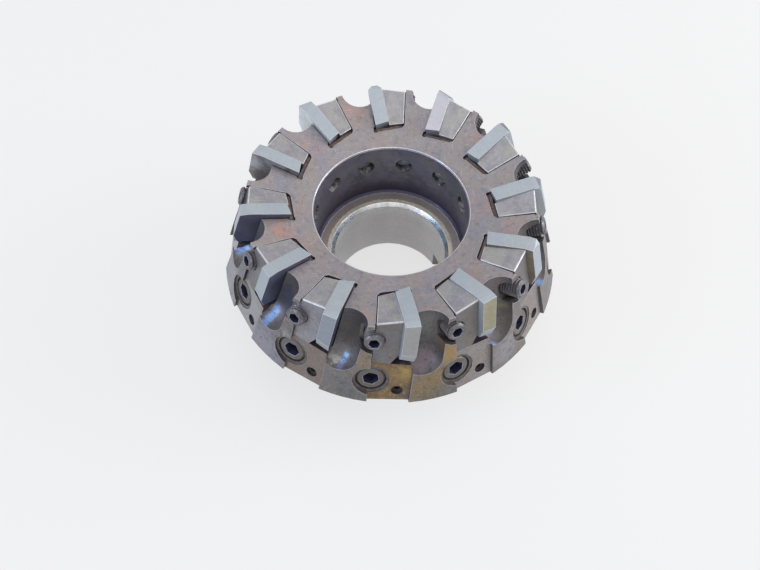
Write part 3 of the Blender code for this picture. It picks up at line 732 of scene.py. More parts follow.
def carbide(name: str, colour: Colour, patch: Colour, speck: Colour, **changes: object) -> MetalFinish:
    """Carbide finish that follows the insert's seat.

    Args:
        name: Name of the material.
        colour: Main colour.
        patch: Colour of the patches.
        speck: Colour of the specks.
        changes: Values that differ from those of most carbide surfaces.

    Returns:
        The finish.
    """
    usual = {"metallic": 0.3, "roughness_swing": 0.05, "grain_depth": 0.004, "attribute": SEAT_ATTRIBUTE}
    return MetalFinish(name, colour, patch, speck, **{**usual, **changes})


CARBIDE_FINISHES: dict[Carbide, MetalFinish] = {
    Carbide.GROUND: carbide(
        "ground_carbide", (0.365, 0.405, 0.45), (0.4, 0.43, 0.455), (0.31, 0.345, 0.385), roughness=0.4,
        patch_scale=0.12, speck_share=0.25, line_stretch=GRINDING, line_share=0.22),
    Carbide.WORN: carbide(
        "worn_carbide", (0.35, 0.35, 0.35), (0.38, 0.37, 0.34), (0.28, 0.28, 0.275), roughness=0.42,
        patch_scale=0.2, line_stretch=GRINDING, line_share=0.3),
    Carbide.STAINED: carbide(
        "stained_carbide", (0.32, 0.29, 0.19), (0.36, 0.34, 0.265), (0.25, 0.245, 0.205), roughness=0.42,
        patch_scale=0.2, line_stretch=GRINDING, line_share=0.3),
    Carbide.RAKE: carbide(
        "rake_carbide", (0.19, 0.215, 0.285), (0.24, 0.265, 0.33), (0.14, 0.16, 0.22), metallic=0.4,
        roughness=0.36, patch_scale=0.12, speck_share=0.25),
    # Painted reflection: the rake carbide near-white where it reflects bright light.
    Carbide.RAKE_PALE: carbide(
        "rake_carbide_painted_bright_reflection", (0.7, 0.75, 0.77), (0.6, 0.63, 0.64), (0.45, 0.46, 0.48), metallic=0.4,
        roughness=0.36, patch_scale=0.2, speck_share=0.3),
    # Painted reflection: the rake carbide near-black navy where it reflects the dark.
    Carbide.RAKE_DARK: carbide(
        "rake_carbide_painted_dark_reflection", (0.1, 0.11, 0.175), (0.15, 0.155, 0.22), (0.055, 0.06, 0.1), metallic=0.35,
        roughness=0.4, patch_scale=0.14, speck_share=0.4),
    # Painted highlight: lighter carbide on the inserts' rounded edges.
    Carbide.EDGE: carbide(
        "carbide_edge_highlight", (0.52, 0.56, 0.61), (0.46, 0.5, 0.54), (0.38, 0.41, 0.44), roughness_swing=0.08,
        grain_depth=0.012, roughness=0.36, patch_scale=0.4),
    Carbide.BROKEN: carbide(
        "broken_carbide", (0.2, 0.2, 0.24), (0.28, 0.29, 0.32), (0.12, 0.12, 0.15), roughness_swing=0.08,
        grain_depth=0.06, roughness=0.55, patch_scale=0.5),
    Carbide.LAVENDER: carbide(
        "lavender_carbide", (0.5, 0.475, 0.53), (0.44, 0.45, 0.5), (0.36, 0.36, 0.4), roughness=0.4,
        patch_scale=0.12, speck_share=0.25, line_stretch=GRINDING, line_share=0.22),
    Carbide.BROWNED: carbide(
        "browned_carbide", (0.2, 0.155, 0.135), (0.27, 0.25, 0.17), (0.11, 0.1, 0.08), roughness_swing=0.08,
        grain_depth=0.03, roughness=0.45, patch_scale=0.16, speck_share=0.5),
    # Painted reflection: the rake carbide in a middle grey, with brown patches.
    Carbide.RAKE_GREY: carbide(
        "rake_carbide_painted_grey_reflection", (0.4, 0.41, 0.44), (0.18, 0.155, 0.15), (0.24, 0.24, 0.26), metallic=0.4,
        roughness=0.38, patch_scale=0.12, patch_share=1.0, speck_share=0.4),
    # Painted shade: the ground carbide darkened, for a flank that faces away from the lamps.
    Carbide.DULL: carbide(
        "ground_carbide_painted_shade", (0.28, 0.3, 0.345), (0.31, 0.33, 0.36), (0.23, 0.25, 0.29), roughness=0.42,
        patch_scale=0.16, speck_share=0.3, line_stretch=GRINDING, line_share=0.25),
}
WEDGE_TOP = MetalFinish(
    "wedge_top_steel", (0.3, 0.292, 0.31), (0.25, 0.24, 0.27), (0.42, 0.405, 0.39),
    tint=(0.325, 0.315, 0.3), tint_scale=0.13, patch_scale=0.2, patch_share=0.9, speck_scale=0.6,
    scratch_share=0.6, glint=(0.235, 0.225, 0.24), glint_share=0.4, attribute=SEAT_ATTRIBUTE)
WEDGE_FACE = MetalFinish(
    "wedge_outer_steel", (0.175, 0.17, 0.18), (0.185, 0.16, 0.145), (0.1, 0.095, 0.1), patch_scale=0.2,
    patch_share=0.9, speck_scale=0.6, speck_share=0.6, scratch_share=0.4, glint=(0.23, 0.22, 0.215),
    glint_share=0.6, attribute=SEAT_ATTRIBUTE)
# Painted light: a lighter copy of the wedges' outer steel, for outer faces turned to the lamps.
WEDGE_FACE_PAINTED_LIGHT = MetalFinish(
    "wedge_outer_steel_painted_light", (0.265, 0.26, 0.285), (0.235, 0.22, 0.225), (0.15, 0.145, 0.16), patch_scale=0.2,
    patch_share=0.9, speck_scale=0.6, speck_share=0.6, scratch_share=0.4, glint=(0.33, 0.32, 0.335),
    glint_share=0.6, attribute=SEAT_ATTRIBUTE)
# Rounded wedge edges: worn steel with painted highlight.
WEDGE_EDGE = MetalFinish(
    "wedge_worn_edge_and_highlight", (0.62, 0.62, 0.66), (0.5, 0.49, 0.52), (0.4, 0.39, 0.41), roughness=0.36,
    patch_scale=0.5, attribute=SEAT_ATTRIBUTE)
SCREW_SIDE = MetalFinish(
    "screw_thread_steel", (0.125, 0.118, 0.13), (0.155, 0.14, 0.14), (0.07, 0.068, 0.08), metallic=0.5,
    patch_scale=0.4, glint=(0.42, 0.42, 0.46), glint_share=0.6, attribute=SEAT_ATTRIBUTE)
SCREW_END = MetalFinish(
    "screw_end_steel", (0.165, 0.16, 0.165), (0.11, 0.105, 0.11), (0.34, 0.34, 0.37), patch_scale=0.4,
    speck_scale=0.6, attribute=SEAT_ATTRIBUTE)
# Painted highlight: bright lavender ring on the socket's rounded rim.
SCREW_RIM_HIGHLIGHT = MetalFinish(
    "socket_rim_highlight", (0.42, 0.42, 0.48), (0.24, 0.235, 0.26), (0.16, 0.155, 0.17), metallic=0.5,
    patch_scale=0.5, attribute=SEAT_ATTRIBUTE)
SCREW_TIP = MetalFinish(
    "screw_tip_steel", (0.3, 0.3, 0.33), (0.12, 0.115, 0.13), (0.55, 0.55, 0.58), metallic=0.5,
    patch_scale=0.35, speck_scale=0.6)
SCREW_BRONZE = MetalFinish(
    "rim_screw_steel", (0.13, 0.115, 0.1), (0.17, 0.16, 0.155), (0.08, 0.07, 0.065), patch_scale=0.35,
    attribute=SEAT_ATTRIBUTE)
# Socket walls: dark oxide, darkened further to near-black navy as painted shade inside the hex socket.
SCREW_SOCKET_OXIDE_AND_SHADE = MetalFinish(
    "screw_socket_oxide_and_painted_shade", (0.05, 0.052, 0.12), (0.08, 0.08, 0.14), (0.03, 0.03, 0.06), roughness=0.45,
    patch_scale=0.6, attribute=SEAT_ATTRIBUTE)


def merged_copy(node: str) -> Mesh:
    """Copy of a CAD node's mesh, in millimetres, with its loose triangles merged into plane faces.

    Args:
        node: Name of the CAD node.

    Returns:
        The bmesh.
    """
    bm = bmesh.new()
    bm.from_mesh(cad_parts[node].data)
    bmesh.ops.scale(bm, vec=(1.0 / MM,) * 3, verts=bm.verts)
    bmesh.ops.remove_doubles(bm, verts=bm.verts, dist=WELD)
    bmesh.ops.dissolve_degenerate(bm, edges=bm.edges, dist=WELD)
    bmesh.ops.dissolve_limit(bm, angle_limit=math.radians(FLAT_ANGLE), verts=bm.verts, edges=bm.edges)
    bmesh.ops.recalc_face_normals(bm, faces=bm.faces)
    return bm


def sharp_edges(bm: Mesh, angle: float) -> list[bmesh.types.BMEdge]:
    """Edges whose faces meet at more than an angle in degrees."""
    limit = math.radians(angle)
    return [edge for edge in bm.edges if len(edge.link_faces) == 2 and edge.calc_face_angle(0.0) > limit]


def round_edges(bm: Mesh, edges: list[bmesh.types.BMEdge], width: float,
                segments: int = 2) -> list[bmesh.types.BMFace]:
    """Bevel edges.

    Args:
        bm: The mesh, in millimetres.
        edges: The edges to round.
        width: Width of the bevel.
        segments: Steps across the bevel.

    Returns:
        The new faces.
    """
    made = bmesh.ops.bevel(bm, geom=edges, offset=width, offset_type="OFFSET", segments=segments,
                           profile=0.5, affect="EDGES", clamp_overlap=False, material=-1)
    return made["faces"]


def finish_piece(bm: Mesh, name: str, materials: Iterable[bpy.types.Material],
                 replaced: list[str], to_seat: Matrix | None = None, seed: float = 0.0,
                 sharp: float = 32.0) -> bpy.types.Object:
    """Turn a bmesh in millimetres into a piece that rides on the mill and stands for CAD nodes.

    Args:
        bm: The mesh, which is freed.
        name: Name of the piece.
        materials: Materials, in the order of the faces' material numbers.
        replaced: CAD nodes that the piece stands for.
        to_seat: Frame in which the piece's own pattern runs, in millimetres.
        seed: Shift of the piece's pattern, so that no two pieces look the same.
        sharp: Angle in degrees above which shading breaks.

    Returns:
        The piece.
    """
    if to_seat is not None:
        layer = bm.verts.layers.float_vector.new(SEAT_ATTRIBUTE)
        back = to_seat.inverted()
        for vert in bm.verts:
            vert[layer] = back @ vert.co + Vector((seed, 0.0, seed))
    bmesh.ops.scale(bm, vec=(MM,) * 3, verts=bm.verts)
    mesh = bpy.data.meshes.new(name)
    bm.to_mesh(mesh)
    bm.free()
    mesh.shade_smooth()
    mesh.set_sharp_from_angle(angle=math.radians(sharp))
    for material in materials:
        mesh.materials.append(material)
    piece = bpy.data.objects.new(name, mesh)
    bpy.context.scene.collection.objects.link(piece)
    weighted = piece.modifiers.new("even_shading", "WEIGHTED_NORMAL")
    weighted.keep_sharp = True
    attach(piece, "root")
    if replaced:
        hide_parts(*replaced)
    LOG.info("%s: %d faces", name, len(mesh.polygons))
    return piece


@dataclass(frozen=True)
class HoleReach:
    """Room round a frame's Z axis that counts as a hole, in millimetres."""

    radius: float
    low: float
    high: float

    def holds(self, point: Vector, place: Matrix) -> bool:
        """Whether a point is in the hole that has its mouth at a frame."""
        local = place.inverted() @ point
        return local.xy.length < self.radius and self.low < local.z < self.high


@dataclass
class CutterBody:
    """The steel body: hub, rim, cutting face, pockets, gullets, flats and bores."""

    edge_round: float = 0.14
    sharp_angle: float = 25.0
    gold_flats: tuple[int, ...] = (10,)
    pink_flats: tuple[int, ...] = (9, 2, 5)
    plane_reach: float = 0.12
    round_reach: float = 0.25
    edge_reach: float = 0.1
    wall_reach: float = 0.4
    hub_reach: float = 0.5
    lip_reach: float = 0.8
    lip_depth: float = 1.5
    mouth_low: float = 10.0
    screw_end_reach: float = 4.5
    set_screw_hole: HoleReach = HoleReach(2.1, -4.0, -0.05)
    rim_screw_hole: HoleReach = HoleReach(6.15, -16.0, -0.1)
    wedge_screw_hole: HoleReach = HoleReach(5.35, -4.7, 6.0)
    tapped_hole: HoleReach = HoleReach(3.6, -math.inf, -4.0)
    gullet_behind: float = 0.3
    pocket_low: Triple = (-3.0, -5.0, -1.2)
    pocket_past: Triple = (2.6, 0.3, 0.8)

    def in_pocket(self, seat: Vector) -> bool:
        """Whether a point in the seat frame of a station is on its pocket."""
        high = (LAYOUT.insert_width, LAYOUT.pocket_depth, LAYOUT.wedge_far(seat.x))
        return all(low < part < top + past for low, part, top, past
                   in zip(self.pocket_low, seat, high, self.pocket_past))

    def station_zone(self, point: Vector, normal: Vector, number: int) -> Zone | None:
        """Zone of a face as one station sees it.

        Args:
            point: Middle of the face, in millimetres.
            normal: The way that the face looks.
            number: The station.

        Returns:
            The zone, or None where the face isn't part of that station.
        """
        home = LAYOUT.about(number).inverted() @ point
        facing = LAYOUT.about(number).inverted().to_3x3() @ normal
        plane, outward = LAYOUT.flat_plane()
        if self.set_screw_hole.holds(home, LAYOUT.set_screw()):
            return Zone.SET_SCREW
        if self.rim_screw_hole.holds(home, LAYOUT.rim_screw()):
            return Zone.HOLE
        if abs((home - plane).dot(outward)) < self.plane_reach and facing.dot(outward) > SAME_WAY:
            if number in self.gold_flats:
                return Zone.FLAT_GOLD
            return Zone.FLAT_PINK if number in self.pink_flats else Zone.FLAT_GREY
        seat = LAYOUT.station_seat(number).inverted() @ point
        across = math.hypot(seat.x - LAYOUT.gullet_inset, seat.z + LAYOUT.gullet_ahead)
        if seat.y > LAYOUT.gullet_depth:
            across = math.hypot(across, seat.y - LAYOUT.gullet_depth)
        if abs(across - LAYOUT.gullet_radius) < self.round_reach and seat.z < self.gullet_behind:
            return Zone.GULLET
        if self.wedge_screw_hole.holds(home, LAYOUT.wedge_screw()):
            return Zone.HOLE
        if self.tapped_hole.holds(home, LAYOUT.wedge_screw()):
            at_counterbore = point.xy.length < LAYOUT.counterbore_radius + self.screw_end_reach
            return Zone.HOLE_MOUTH if at_counterbore else Zone.HOLE
        return Zone.POCKET if self.in_pocket(seat) else None

    def zone(self, point: Vector, normal: Vector) -> Zone:
        """Zone of a face of the body, by where it is and how it faces."""
        radius = point.xy.length
        outward = normal.xy.dot(point.xy) / max(radius, WELD)
        level = normal.z > NEAR_WAY
        if level and abs(point.z - LAYOUT.face_height(radius)) < self.plane_reach:
            return Zone.FACE
        if radius < LAYOUT.counterbore_radius + self.wall_reach:
            if level and abs(point.z - LAYOUT.counterbore_floor) < self.plane_reach:
                return Zone.LEDGE
            if radius < LAYOUT.bore_radius + self.edge_reach:
                return Zone.BORE
            if point.z < LAYOUT.counterbore_floor - self.edge_reach:
                return Zone.MOUTH if point.z > self.mouth_low else Zone.HUB
            return Zone.COUNTERBORE
        pitch = 360.0 / LAYOUT.stations
        nearest = round(math.degrees(math.atan2(point.y, point.x)) / pitch)
        for shift in (0, 1, -1):
            found = self.station_zone(point, normal, (nearest + shift) % LAYOUT.stations + 1)
            if found is not None:
                return found
        if outward > LOOSE_WAY and abs(radius - LAYOUT.cone_radius(point.z)) < self.round_reach:
            return Zone.RIM
        below_rim = point.z < LAYOUT.hub_height + self.hub_reach
        if below_rim and (normal.z < -HALF_WAY or radius < LAYOUT.hub_radius + self.hub_reach):
            return Zone.HUB
        return Zone.STEP

    def build(self) -> bpy.types.Object:
        """Build the body from its CAD node.

        Returns:
            The piece.
        """
        bm = merged_copy("cutter_body")
        order = list(BODY_FINISHES)
        for face in bm.faces:
            face.material_index = order.index(self.zone(face.calc_center_median(), face.normal))
        # Lighter rounded edges, worn and with painted highlight, take the first material after the zones,
        # and the counterbore's painted lip highlight the next.
        worn = len(order)
        lip = worn + 1
        for face in round_edges(bm, sharp_edges(bm, self.sharp_angle), self.edge_round):
            middle = face.calc_center_median()
            beside_bore = abs(middle.xy.length - LAYOUT.counterbore_radius) < self.lip_reach
            # Rounded edges at the counterbore's top get the painted lip highlight.
            if beside_bore and middle.z > LAYOUT.face_start - self.lip_depth:
                face.material_index = lip
            elif order[min(face.material_index, worn - 1)] in (Zone.FACE, Zone.RIM, Zone.FLAT_GREY):
                face.material_index = worn
        finishes = [*BODY_FINISHES.values(), BODY_EDGE, LIP_PAINTED_HIGHLIGHT]
        return finish_piece(bm, "body", [finish.material() for finish in finishes],
                            ["cutter_body"])


@dataclass
class PocketGrit:
    """Packed grit and burrs in the gap at the inner end of every pocket."""

    end_gap: float = 1.4
    clear: float = 0.12
    back_clear: float = 0.1
    notch: float = -0.75
    below_face: float = 0.7
    thickness: float = 0.6
    cuts: int = 7
    swell: float = 0.28
    bites: float = 0.9
    spot_step: float = 17.0

    def strip(self, seat: Matrix, number: int) -> Mesh:
        """One rough strip, in millimetres."""
        start = LAYOUT.insert_width + self.clear
        end = LAYOUT.insert_width + self.end_gap - self.clear
        across = (self.notch, LAYOUT.wedge_far(end) - self.back_clear)
        corners = [(start, across[0]), (end, across[0]), (end, across[1]), (start, across[1])]
        bm = bmesh.new()
        base = bm.faces.new([bm.verts.new(self.under_face(seat, *corner)) for corner in corners])
        grown = bmesh.ops.extrude_face_region(bm, geom=[base])
        lower = [item for item in grown["geom"] if isinstance(item, bmesh.types.BMVert)]
        bmesh.ops.translate(bm, vec=(0.0, 0.0, -self.thickness), verts=lower)
        bmesh.ops.subdivide_edges(bm, edges=bm.edges, cuts=self.cuts, use_grid_fill=True)
        for vert in bm.verts:
            spot = vert.co * self.bites + Vector((0.0, 0.0, self.spot_step * number))
            vert.co.z += self.swell * noise.noise(spot)
        bmesh.ops.recalc_face_normals(bm, faces=bm.faces)
        return bm

    def under_face(self, seat: Matrix, inset: float, behind: float) -> Vector:
        """Point below the mill's face at an inset and a distance behind the rake."""
        point = seat @ Vector((inset, 0.0, behind))
        drop = point.z - LAYOUT.face_height(point.xy.length) + self.below_face
        down = seat.to_3x3() @ Vector((0.0, 1.0, 0.0))
        return point - down * (drop / down.z)

    def build(self) -> None:
        """Build the grit of every pocket."""
        steel = GRIT.material()
        for number in STATIONS:
            bm = self.strip(LAYOUT.station_seat(number), number)
            finish_piece(bm, f"pocket_grit_{number:02d}", [steel], [], sharp=180.0)


@dataclass(frozen=True)
class Chip:
    """Corner broken off one insert, as a cutting plane in its seat frame."""

    station: int
    point: Triple
    normal: Triple
    finish: Carbide = Carbide.BROKEN


@dataclass
class InsertSet:
    """The square carbide inserts."""

    edge_round: float = 0.12
    sharp_angle: float = 20.0
    seed_step: float = 37.0
    # Flank finishes: worn and stained carbide, and at station 9 ground carbide with painted shade.
    flanks: dict[int, Carbide] = field(default_factory=lambda: {
        9: Carbide.DULL, 10: Carbide.WORN, 11: Carbide.STAINED})
    tops: dict[int, Carbide] = field(default_factory=lambda: {3: Carbide.LAVENDER})
    backs: dict[int, Carbide] = field(default_factory=lambda: {12: Carbide.BROWNED})
    # Rake faces at stations 5 to 9 get painted reflections: bright at 5, grey at 6, dark at 7 to 9.
    rakes: dict[int, Carbide] = field(default_factory=lambda: {
        5: Carbide.RAKE_PALE, 6: Carbide.RAKE_GREY, 7: Carbide.RAKE_DARK, 8: Carbide.RAKE_DARK,
        9: Carbide.RAKE_DARK})
    chips: tuple[Chip, ...] = (
        Chip(4, (1.9, 0.0, 2.3), (-0.96, -0.25, 0.0)),
        Chip(4, (2.3, 0.0, 3.6), (-0.7, -0.25, 0.6)),
        Chip(4, (2.3, 0.0, 1.0), (-0.7, -0.25, -0.6)),
        Chip(3, (1.6, 0.0, 0.8), (-0.80, -0.45, 0.40)),
        Chip(2, (2.6, 0.0, 2.3), (-0.62, -0.75, 0.15)),
        Chip(2, (0.6, 1.2, 2.3), (-0.92, -0.30, 0.2)),
        Chip(1, (2.2, 0.2, 2.3), (-0.75, -0.62, 0.1)),
        Chip(12, (1.4, 0.0, 2.3), (-0.62, -0.78, 0.0), Carbide.GROUND),
        Chip(12, (0.0, 2.4, 2.3), (-0.90, -0.43, 0.0), Carbide.GROUND),
    )

    def build_one(self, number: int, materials: list[bpy.types.Material]) -> bpy.types.Object:
        """Build the insert of a station from its CAD node.

        Args:
            number: The station.
            materials: The carbide surfaces, in their order.

        Returns:
            The piece.
        """
        node = f"insert_{number:02d}"
        bm = merged_copy(node)
        seat = LAYOUT.station_seat(number)
        for chip in self.chips:
            if chip.station != number:
                continue
            everything = list(bm.verts) + list(bm.edges) + list(bm.faces)
            made = bmesh.ops.bisect_plane(bm, geom=everything, plane_co=seat @ Vector(chip.point),
                                          plane_no=seat.to_3x3() @ Vector(chip.normal), clear_outer=True)
            rim = [item for item in made["geom_cut"] if isinstance(item, bmesh.types.BMEdge)]
            bmesh.ops.edgeloop_fill(bm, edges=rim, mat_nr=chip.finish.slot)
        outer = seat.to_3x3() @ Vector((-1.0, 0.0, 0.0))
        front = seat.to_3x3() @ Vector((0.0, 0.0, -1.0))
        upward = seat.to_3x3() @ Vector((0.0, -1.0, 0.0))
        for face in bm.faces:
            if face.material_index != Carbide.GROUND.slot:
                continue
            if face.normal.dot(front) > CLOSE_WAY:
                face.material_index = self.rakes.get(number, Carbide.RAKE).slot
            elif face.normal.dot(outer) > NEAR_WAY:
                face.material_index = self.flanks.get(number, Carbide.GROUND).slot
            elif face.normal.dot(upward) > LOOSE_WAY:
                face.material_index = self.tops.get(number, Carbide.GROUND).slot
            elif face.normal.dot(front) < -CLOSE_WAY:
                face.material_index = self.backs.get(number, Carbide.GROUND).slot
        # Rounded edges get the painted edge highlight, except on broken faces.
        for face in round_edges(bm, sharp_edges(bm, self.sharp_angle), self.edge_round):
            if face.material_index != Carbide.BROKEN.slot:
                face.material_index = Carbide.EDGE.slot
        return finish_piece(bm, f"carbide_insert_{number:02d}", materials, [node], seat,
                            seed=self.seed_step * number)

    def build(self) -> None:
        """Build every insert."""
        materials = [CARBIDE_FINISHES[kind].material() for kind in Carbide]
        for number in STATIONS:
            self.build_one(number, materials)


class WedgeSurface(IntEnum):
    """Materials of a wedge, in their order."""

    TOP = 0
    OUTER = 1
    # Rounded edges: worn steel with painted highlight.
    WORN = 2
    # Outer face with painted light.
    PALE = 3


@dataclass
class WedgeSet:
    """The clamping wedges behind the inserts."""

    edge_round: float = 0.12
    top_round: float = 0.24
    worn_round: float = 0.42
    clamp_fit: float = 0.22
    side_area: float = 60.0
    worn_angle: float = 30.0
    top_angle: float = 35.0
    rest_angle: float = 50.0
    seed_step: float = 53.0
    # Stations whose wedges get the outer face with painted light.
    pale: tuple[int, ...] = (2, 3, 9)

    def build_one(self, number: int, materials: list[bpy.types.Material]) -> bpy.types.Object:
        """Build the wedge of a station from its CAD node, clamped closer to its pocket.

        Args:
            number: The station.
            materials: One for each of the wedge's surfaces.

        Returns:
            The piece.
        """
        node = f"wedge_{number:02d}"
        bm = merged_copy(node)
        seat = LAYOUT.station_seat(number)
        turned = seat.to_3x3()
        up = turned @ Vector((0.0, -1.0, 0.0))
        outer = turned @ Vector((-1.0, 0.0, 0.0))
        side = WedgeSurface.PALE if number in self.pale else WedgeSurface.OUTER
        for face in bm.faces:
            face.material_index = WedgeSurface.TOP if face.normal.dot(up) > LOOSE_WAY else side
        sides = [face for face in bm.faces
                 if abs(face.normal.dot(turned.col[2])) > NEAR_WAY and face.calc_area() > self.side_area]
        for face in sides:
            bmesh.ops.translate(bm, vec=self.clamp_fit * face.normal, verts=face.verts)
        # Rounded top edges get the worn steel with painted highlight.
        worn = [edge for edge in sharp_edges(bm, self.worn_angle)
                if max(face.normal.dot(up) for face in edge.link_faces) > LOOSE_WAY
                and max(face.normal.dot(outer) for face in edge.link_faces) > LOOSE_WAY]
        for face in round_edges(bm, worn, self.worn_round, segments=3):
            face.material_index = WedgeSurface.WORN
        top = [edge for edge in sharp_edges(bm, self.top_angle)
               if max(face.normal.dot(up) for face in edge.link_faces) > CLOSE_WAY]
        for face in round_edges(bm, top, self.top_round):
            face.material_index = WedgeSurface.WORN
        round_edges(bm, sharp_edges(bm, self.rest_angle), self.edge_round)
        return finish_piece(bm, f"clamp_wedge_{number:02d}", materials, [node], seat,
                            seed=self.seed_step * number)

    def build(self) -> None:
        """Build every wedge."""
        materials = [finish.material() for finish in (WEDGE_TOP, WEDGE_FACE, WEDGE_EDGE, WEDGE_FACE_PAINTED_LIGHT)]
        for number in STATIONS:
            self.build_one(number, materials)


class ScrewSurface(IntEnum):
    """Materials of a socket screw, in their order."""

    THREAD = 0
    END = 1
    # Socket walls, dark oxide with painted shade.
    SOCKET = 2
    # The socket's rounded rim, with painted highlight.
    RIM = 3


def spun(outline: list[tuple[float, float]], segments: int) -> Mesh:
    """Mesh of an outline turned about Z.

    Args:
        outline: Radius and height of each point, in millimetres.
        segments: Steps round the axis.

    Returns:
        The bmesh, with its doubles merged.
    """
    bm = bmesh.new()
    points = [bm.verts.new((radius, 0.0, height)) for radius, height in outline]
    edges = [bm.edges.new(pair) for pair in zip(points, points[1:])]
    bmesh.ops.spin(bm, geom=points + edges, cent=(0, 0, 0), axis=(0, 0, 1), angle=math.tau, steps=segments,
                   use_merge=True)
    bmesh.ops.remove_doubles(bm, verts=bm.verts, dist=FINE_WELD)
    return bm


@dataclass
class SocketScrews:
    """Headless socket screws of one size, one for each station, in millimetres and radians."""

    label: str
    node: str
    diameter: float
    length: float
    socket: float
    socket_depth: float
    pitch: float
    place: Callable[[], Matrix]
    stands: dict[int, float] = field(default_factory=dict)
    stand: float = 0.0
    twist_step: float = 0.7
    segments: int = 32
    end_chamfer: float = 0.65
    thread_depth: float = 0.42
    thread_start: float = 0.35
    thread_shape: Triple = (0.42, 0.55, 0.9)
    tail_chamfer: float = 0.5
    tail_plain: float = 0.6
    socket_round: float = 0.16
    socket_angle: float = 1.0
    seed_step: float = 29.0

    def outline(self) -> list[tuple[float, float]]:
        """Radius and height of the screw's outline, from its chamfered end down, with its thread."""
        radius = self.diameter / 2
        root = radius - self.thread_depth
        down, along, back = (part * self.pitch for part in self.thread_shape)
        points = [(radius - self.end_chamfer, 0.0), (radius, -self.end_chamfer)]
        height = -self.end_chamfer - self.thread_start * self.pitch
        while height - self.pitch > -self.length + self.tail_plain:
            points += [(radius, height), (root, height - down), (root, height - along),
                       (radius, height - back)]
            height -= self.pitch
        points += [(radius, -self.length + self.tail_chamfer), (radius - self.tail_chamfer, -self.length),
                   (0.0, -self.length)]
        return points

    def mesh(self) -> Mesh:
        """The screw about Z, from z = 0 down, in millimetres."""
        bm = spun(self.outline(), self.segments)
        lip = [edge for edge in bm.edges if edge.is_boundary]
        corner = self.socket / math.sqrt(3)
        spoke = Vector((corner, 0.0, 0.0))
        hexagon = [bm.verts.new(turn(60.0 * side) @ spoke) for side in range(6)]
        ring = [bm.edges.new((hexagon[side - 1], hexagon[side])) for side in range(6)]
        bmesh.ops.triangle_fill(bm, use_beauty=True, edges=lip + ring)
        walls = bmesh.ops.extrude_edge_only(bm, edges=ring)
        sunk = [item for item in walls["geom"] if isinstance(item, bmesh.types.BMVert)]
        bmesh.ops.translate(bm, vec=(0.0, 0.0, -self.socket_depth), verts=sunk)
        bmesh.ops.contextual_create(bm, geom=sunk)
        bmesh.ops.recalc_face_normals(bm, faces=bm.faces)
        rim = [edge for edge in bm.edges
               if all(abs(vert.co.z) < FINE_WELD and vert.co.xy.length < corner + 10 * FINE_WELD
                      for vert in edge.verts)
               and edge.calc_face_angle(0.0) > self.socket_angle]
        # The rounded socket rim, which gets the painted highlight.
        worn = set(round_edges(bm, rim, self.socket_round))
        for face in bm.faces:
            middle = face.calc_center_median()
            below = middle.z < -self.socket_round
            if face in worn:
                face.material_index = ScrewSurface.RIM
            elif middle.xy.length < corner and (below or abs(face.normal.z) < SLIGHT_WAY):
                face.material_index = ScrewSurface.SOCKET
            elif not below:
                face.material_index = ScrewSurface.END
        return bm

    def build(self, materials: list[bpy.types.Material]) -> None:
        """Build every screw of this size.

        Args:
            materials: One for each of the screw's surfaces.
        """
        for number in STATIONS:
            stand = self.stands.get(number, self.stand)
            twist = Matrix.Rotation(self.twist_step * number, 4, "Z")
            home = LAYOUT.about(number) @ self.place() @ Matrix.Translation((0.0, 0.0, stand)) @ twist
            bm = self.mesh()
            bmesh.ops.transform(bm, matrix=home, verts=bm.verts)
            finish_piece(bm, f"{self.label}_{number:02d}", materials,
                         [f"{self.node}_{number:02d}"], home, seed=self.seed_step * number)


@dataclass
class ScrewTips:
    """Ends of the wedge screws' threads, seen in the holes round the counterbore."""

    radius: float = 3.1
    recess: float = 0.9
    chamfer: float = 1.1
    length: float = 2.5
    segments: int = 28

    def place(self) -> Matrix:
        """Frame of station 1's tip, Z pointing into the counterbore."""
        home = LAYOUT.wedge_screw()
        inward = -(home.to_3x3() @ Vector((0.0, 0.0, 1.0)))
        start = home.translation
        reach = LAYOUT.counterbore_radius + self.recess
        square = inward.xy.length_squared
        half = start.xy.dot(inward.xy) / square
        rest = (start.xy.length_squared - reach * reach) / square
        place = inward.to_track_quat("Z", "Y").to_matrix().to_4x4()
        place.translation = start + inward * (-half - math.sqrt(half * half - rest))
        return place

    def build(self) -> None:
        """Build every tip."""
        steel = SCREW_TIP.material()
        outline = [(0.0, 0.0), (self.radius - self.chamfer, 0.0), (self.radius, -self.chamfer),
                   (self.radius, -self.length), (0.0, -self.length)]
        for number in STATIONS:
            bm = spun(outline, self.segments)
            bmesh.ops.recalc_face_normals(bm, faces=bm.faces)
            bmesh.ops.transform(bm, matrix=LAYOUT.about(number) @ self.place(), verts=bm.verts)
            finish_piece(bm, f"wedge_screw_tip_{number:02d}", [steel], [])


@dataclass(frozen=True)
class Lamp:
    """Square area lamp aimed at the middle of the mill, in metres and watts."""

    name: str
    place: Triple
    size: float
    power: float
    colour: Colour


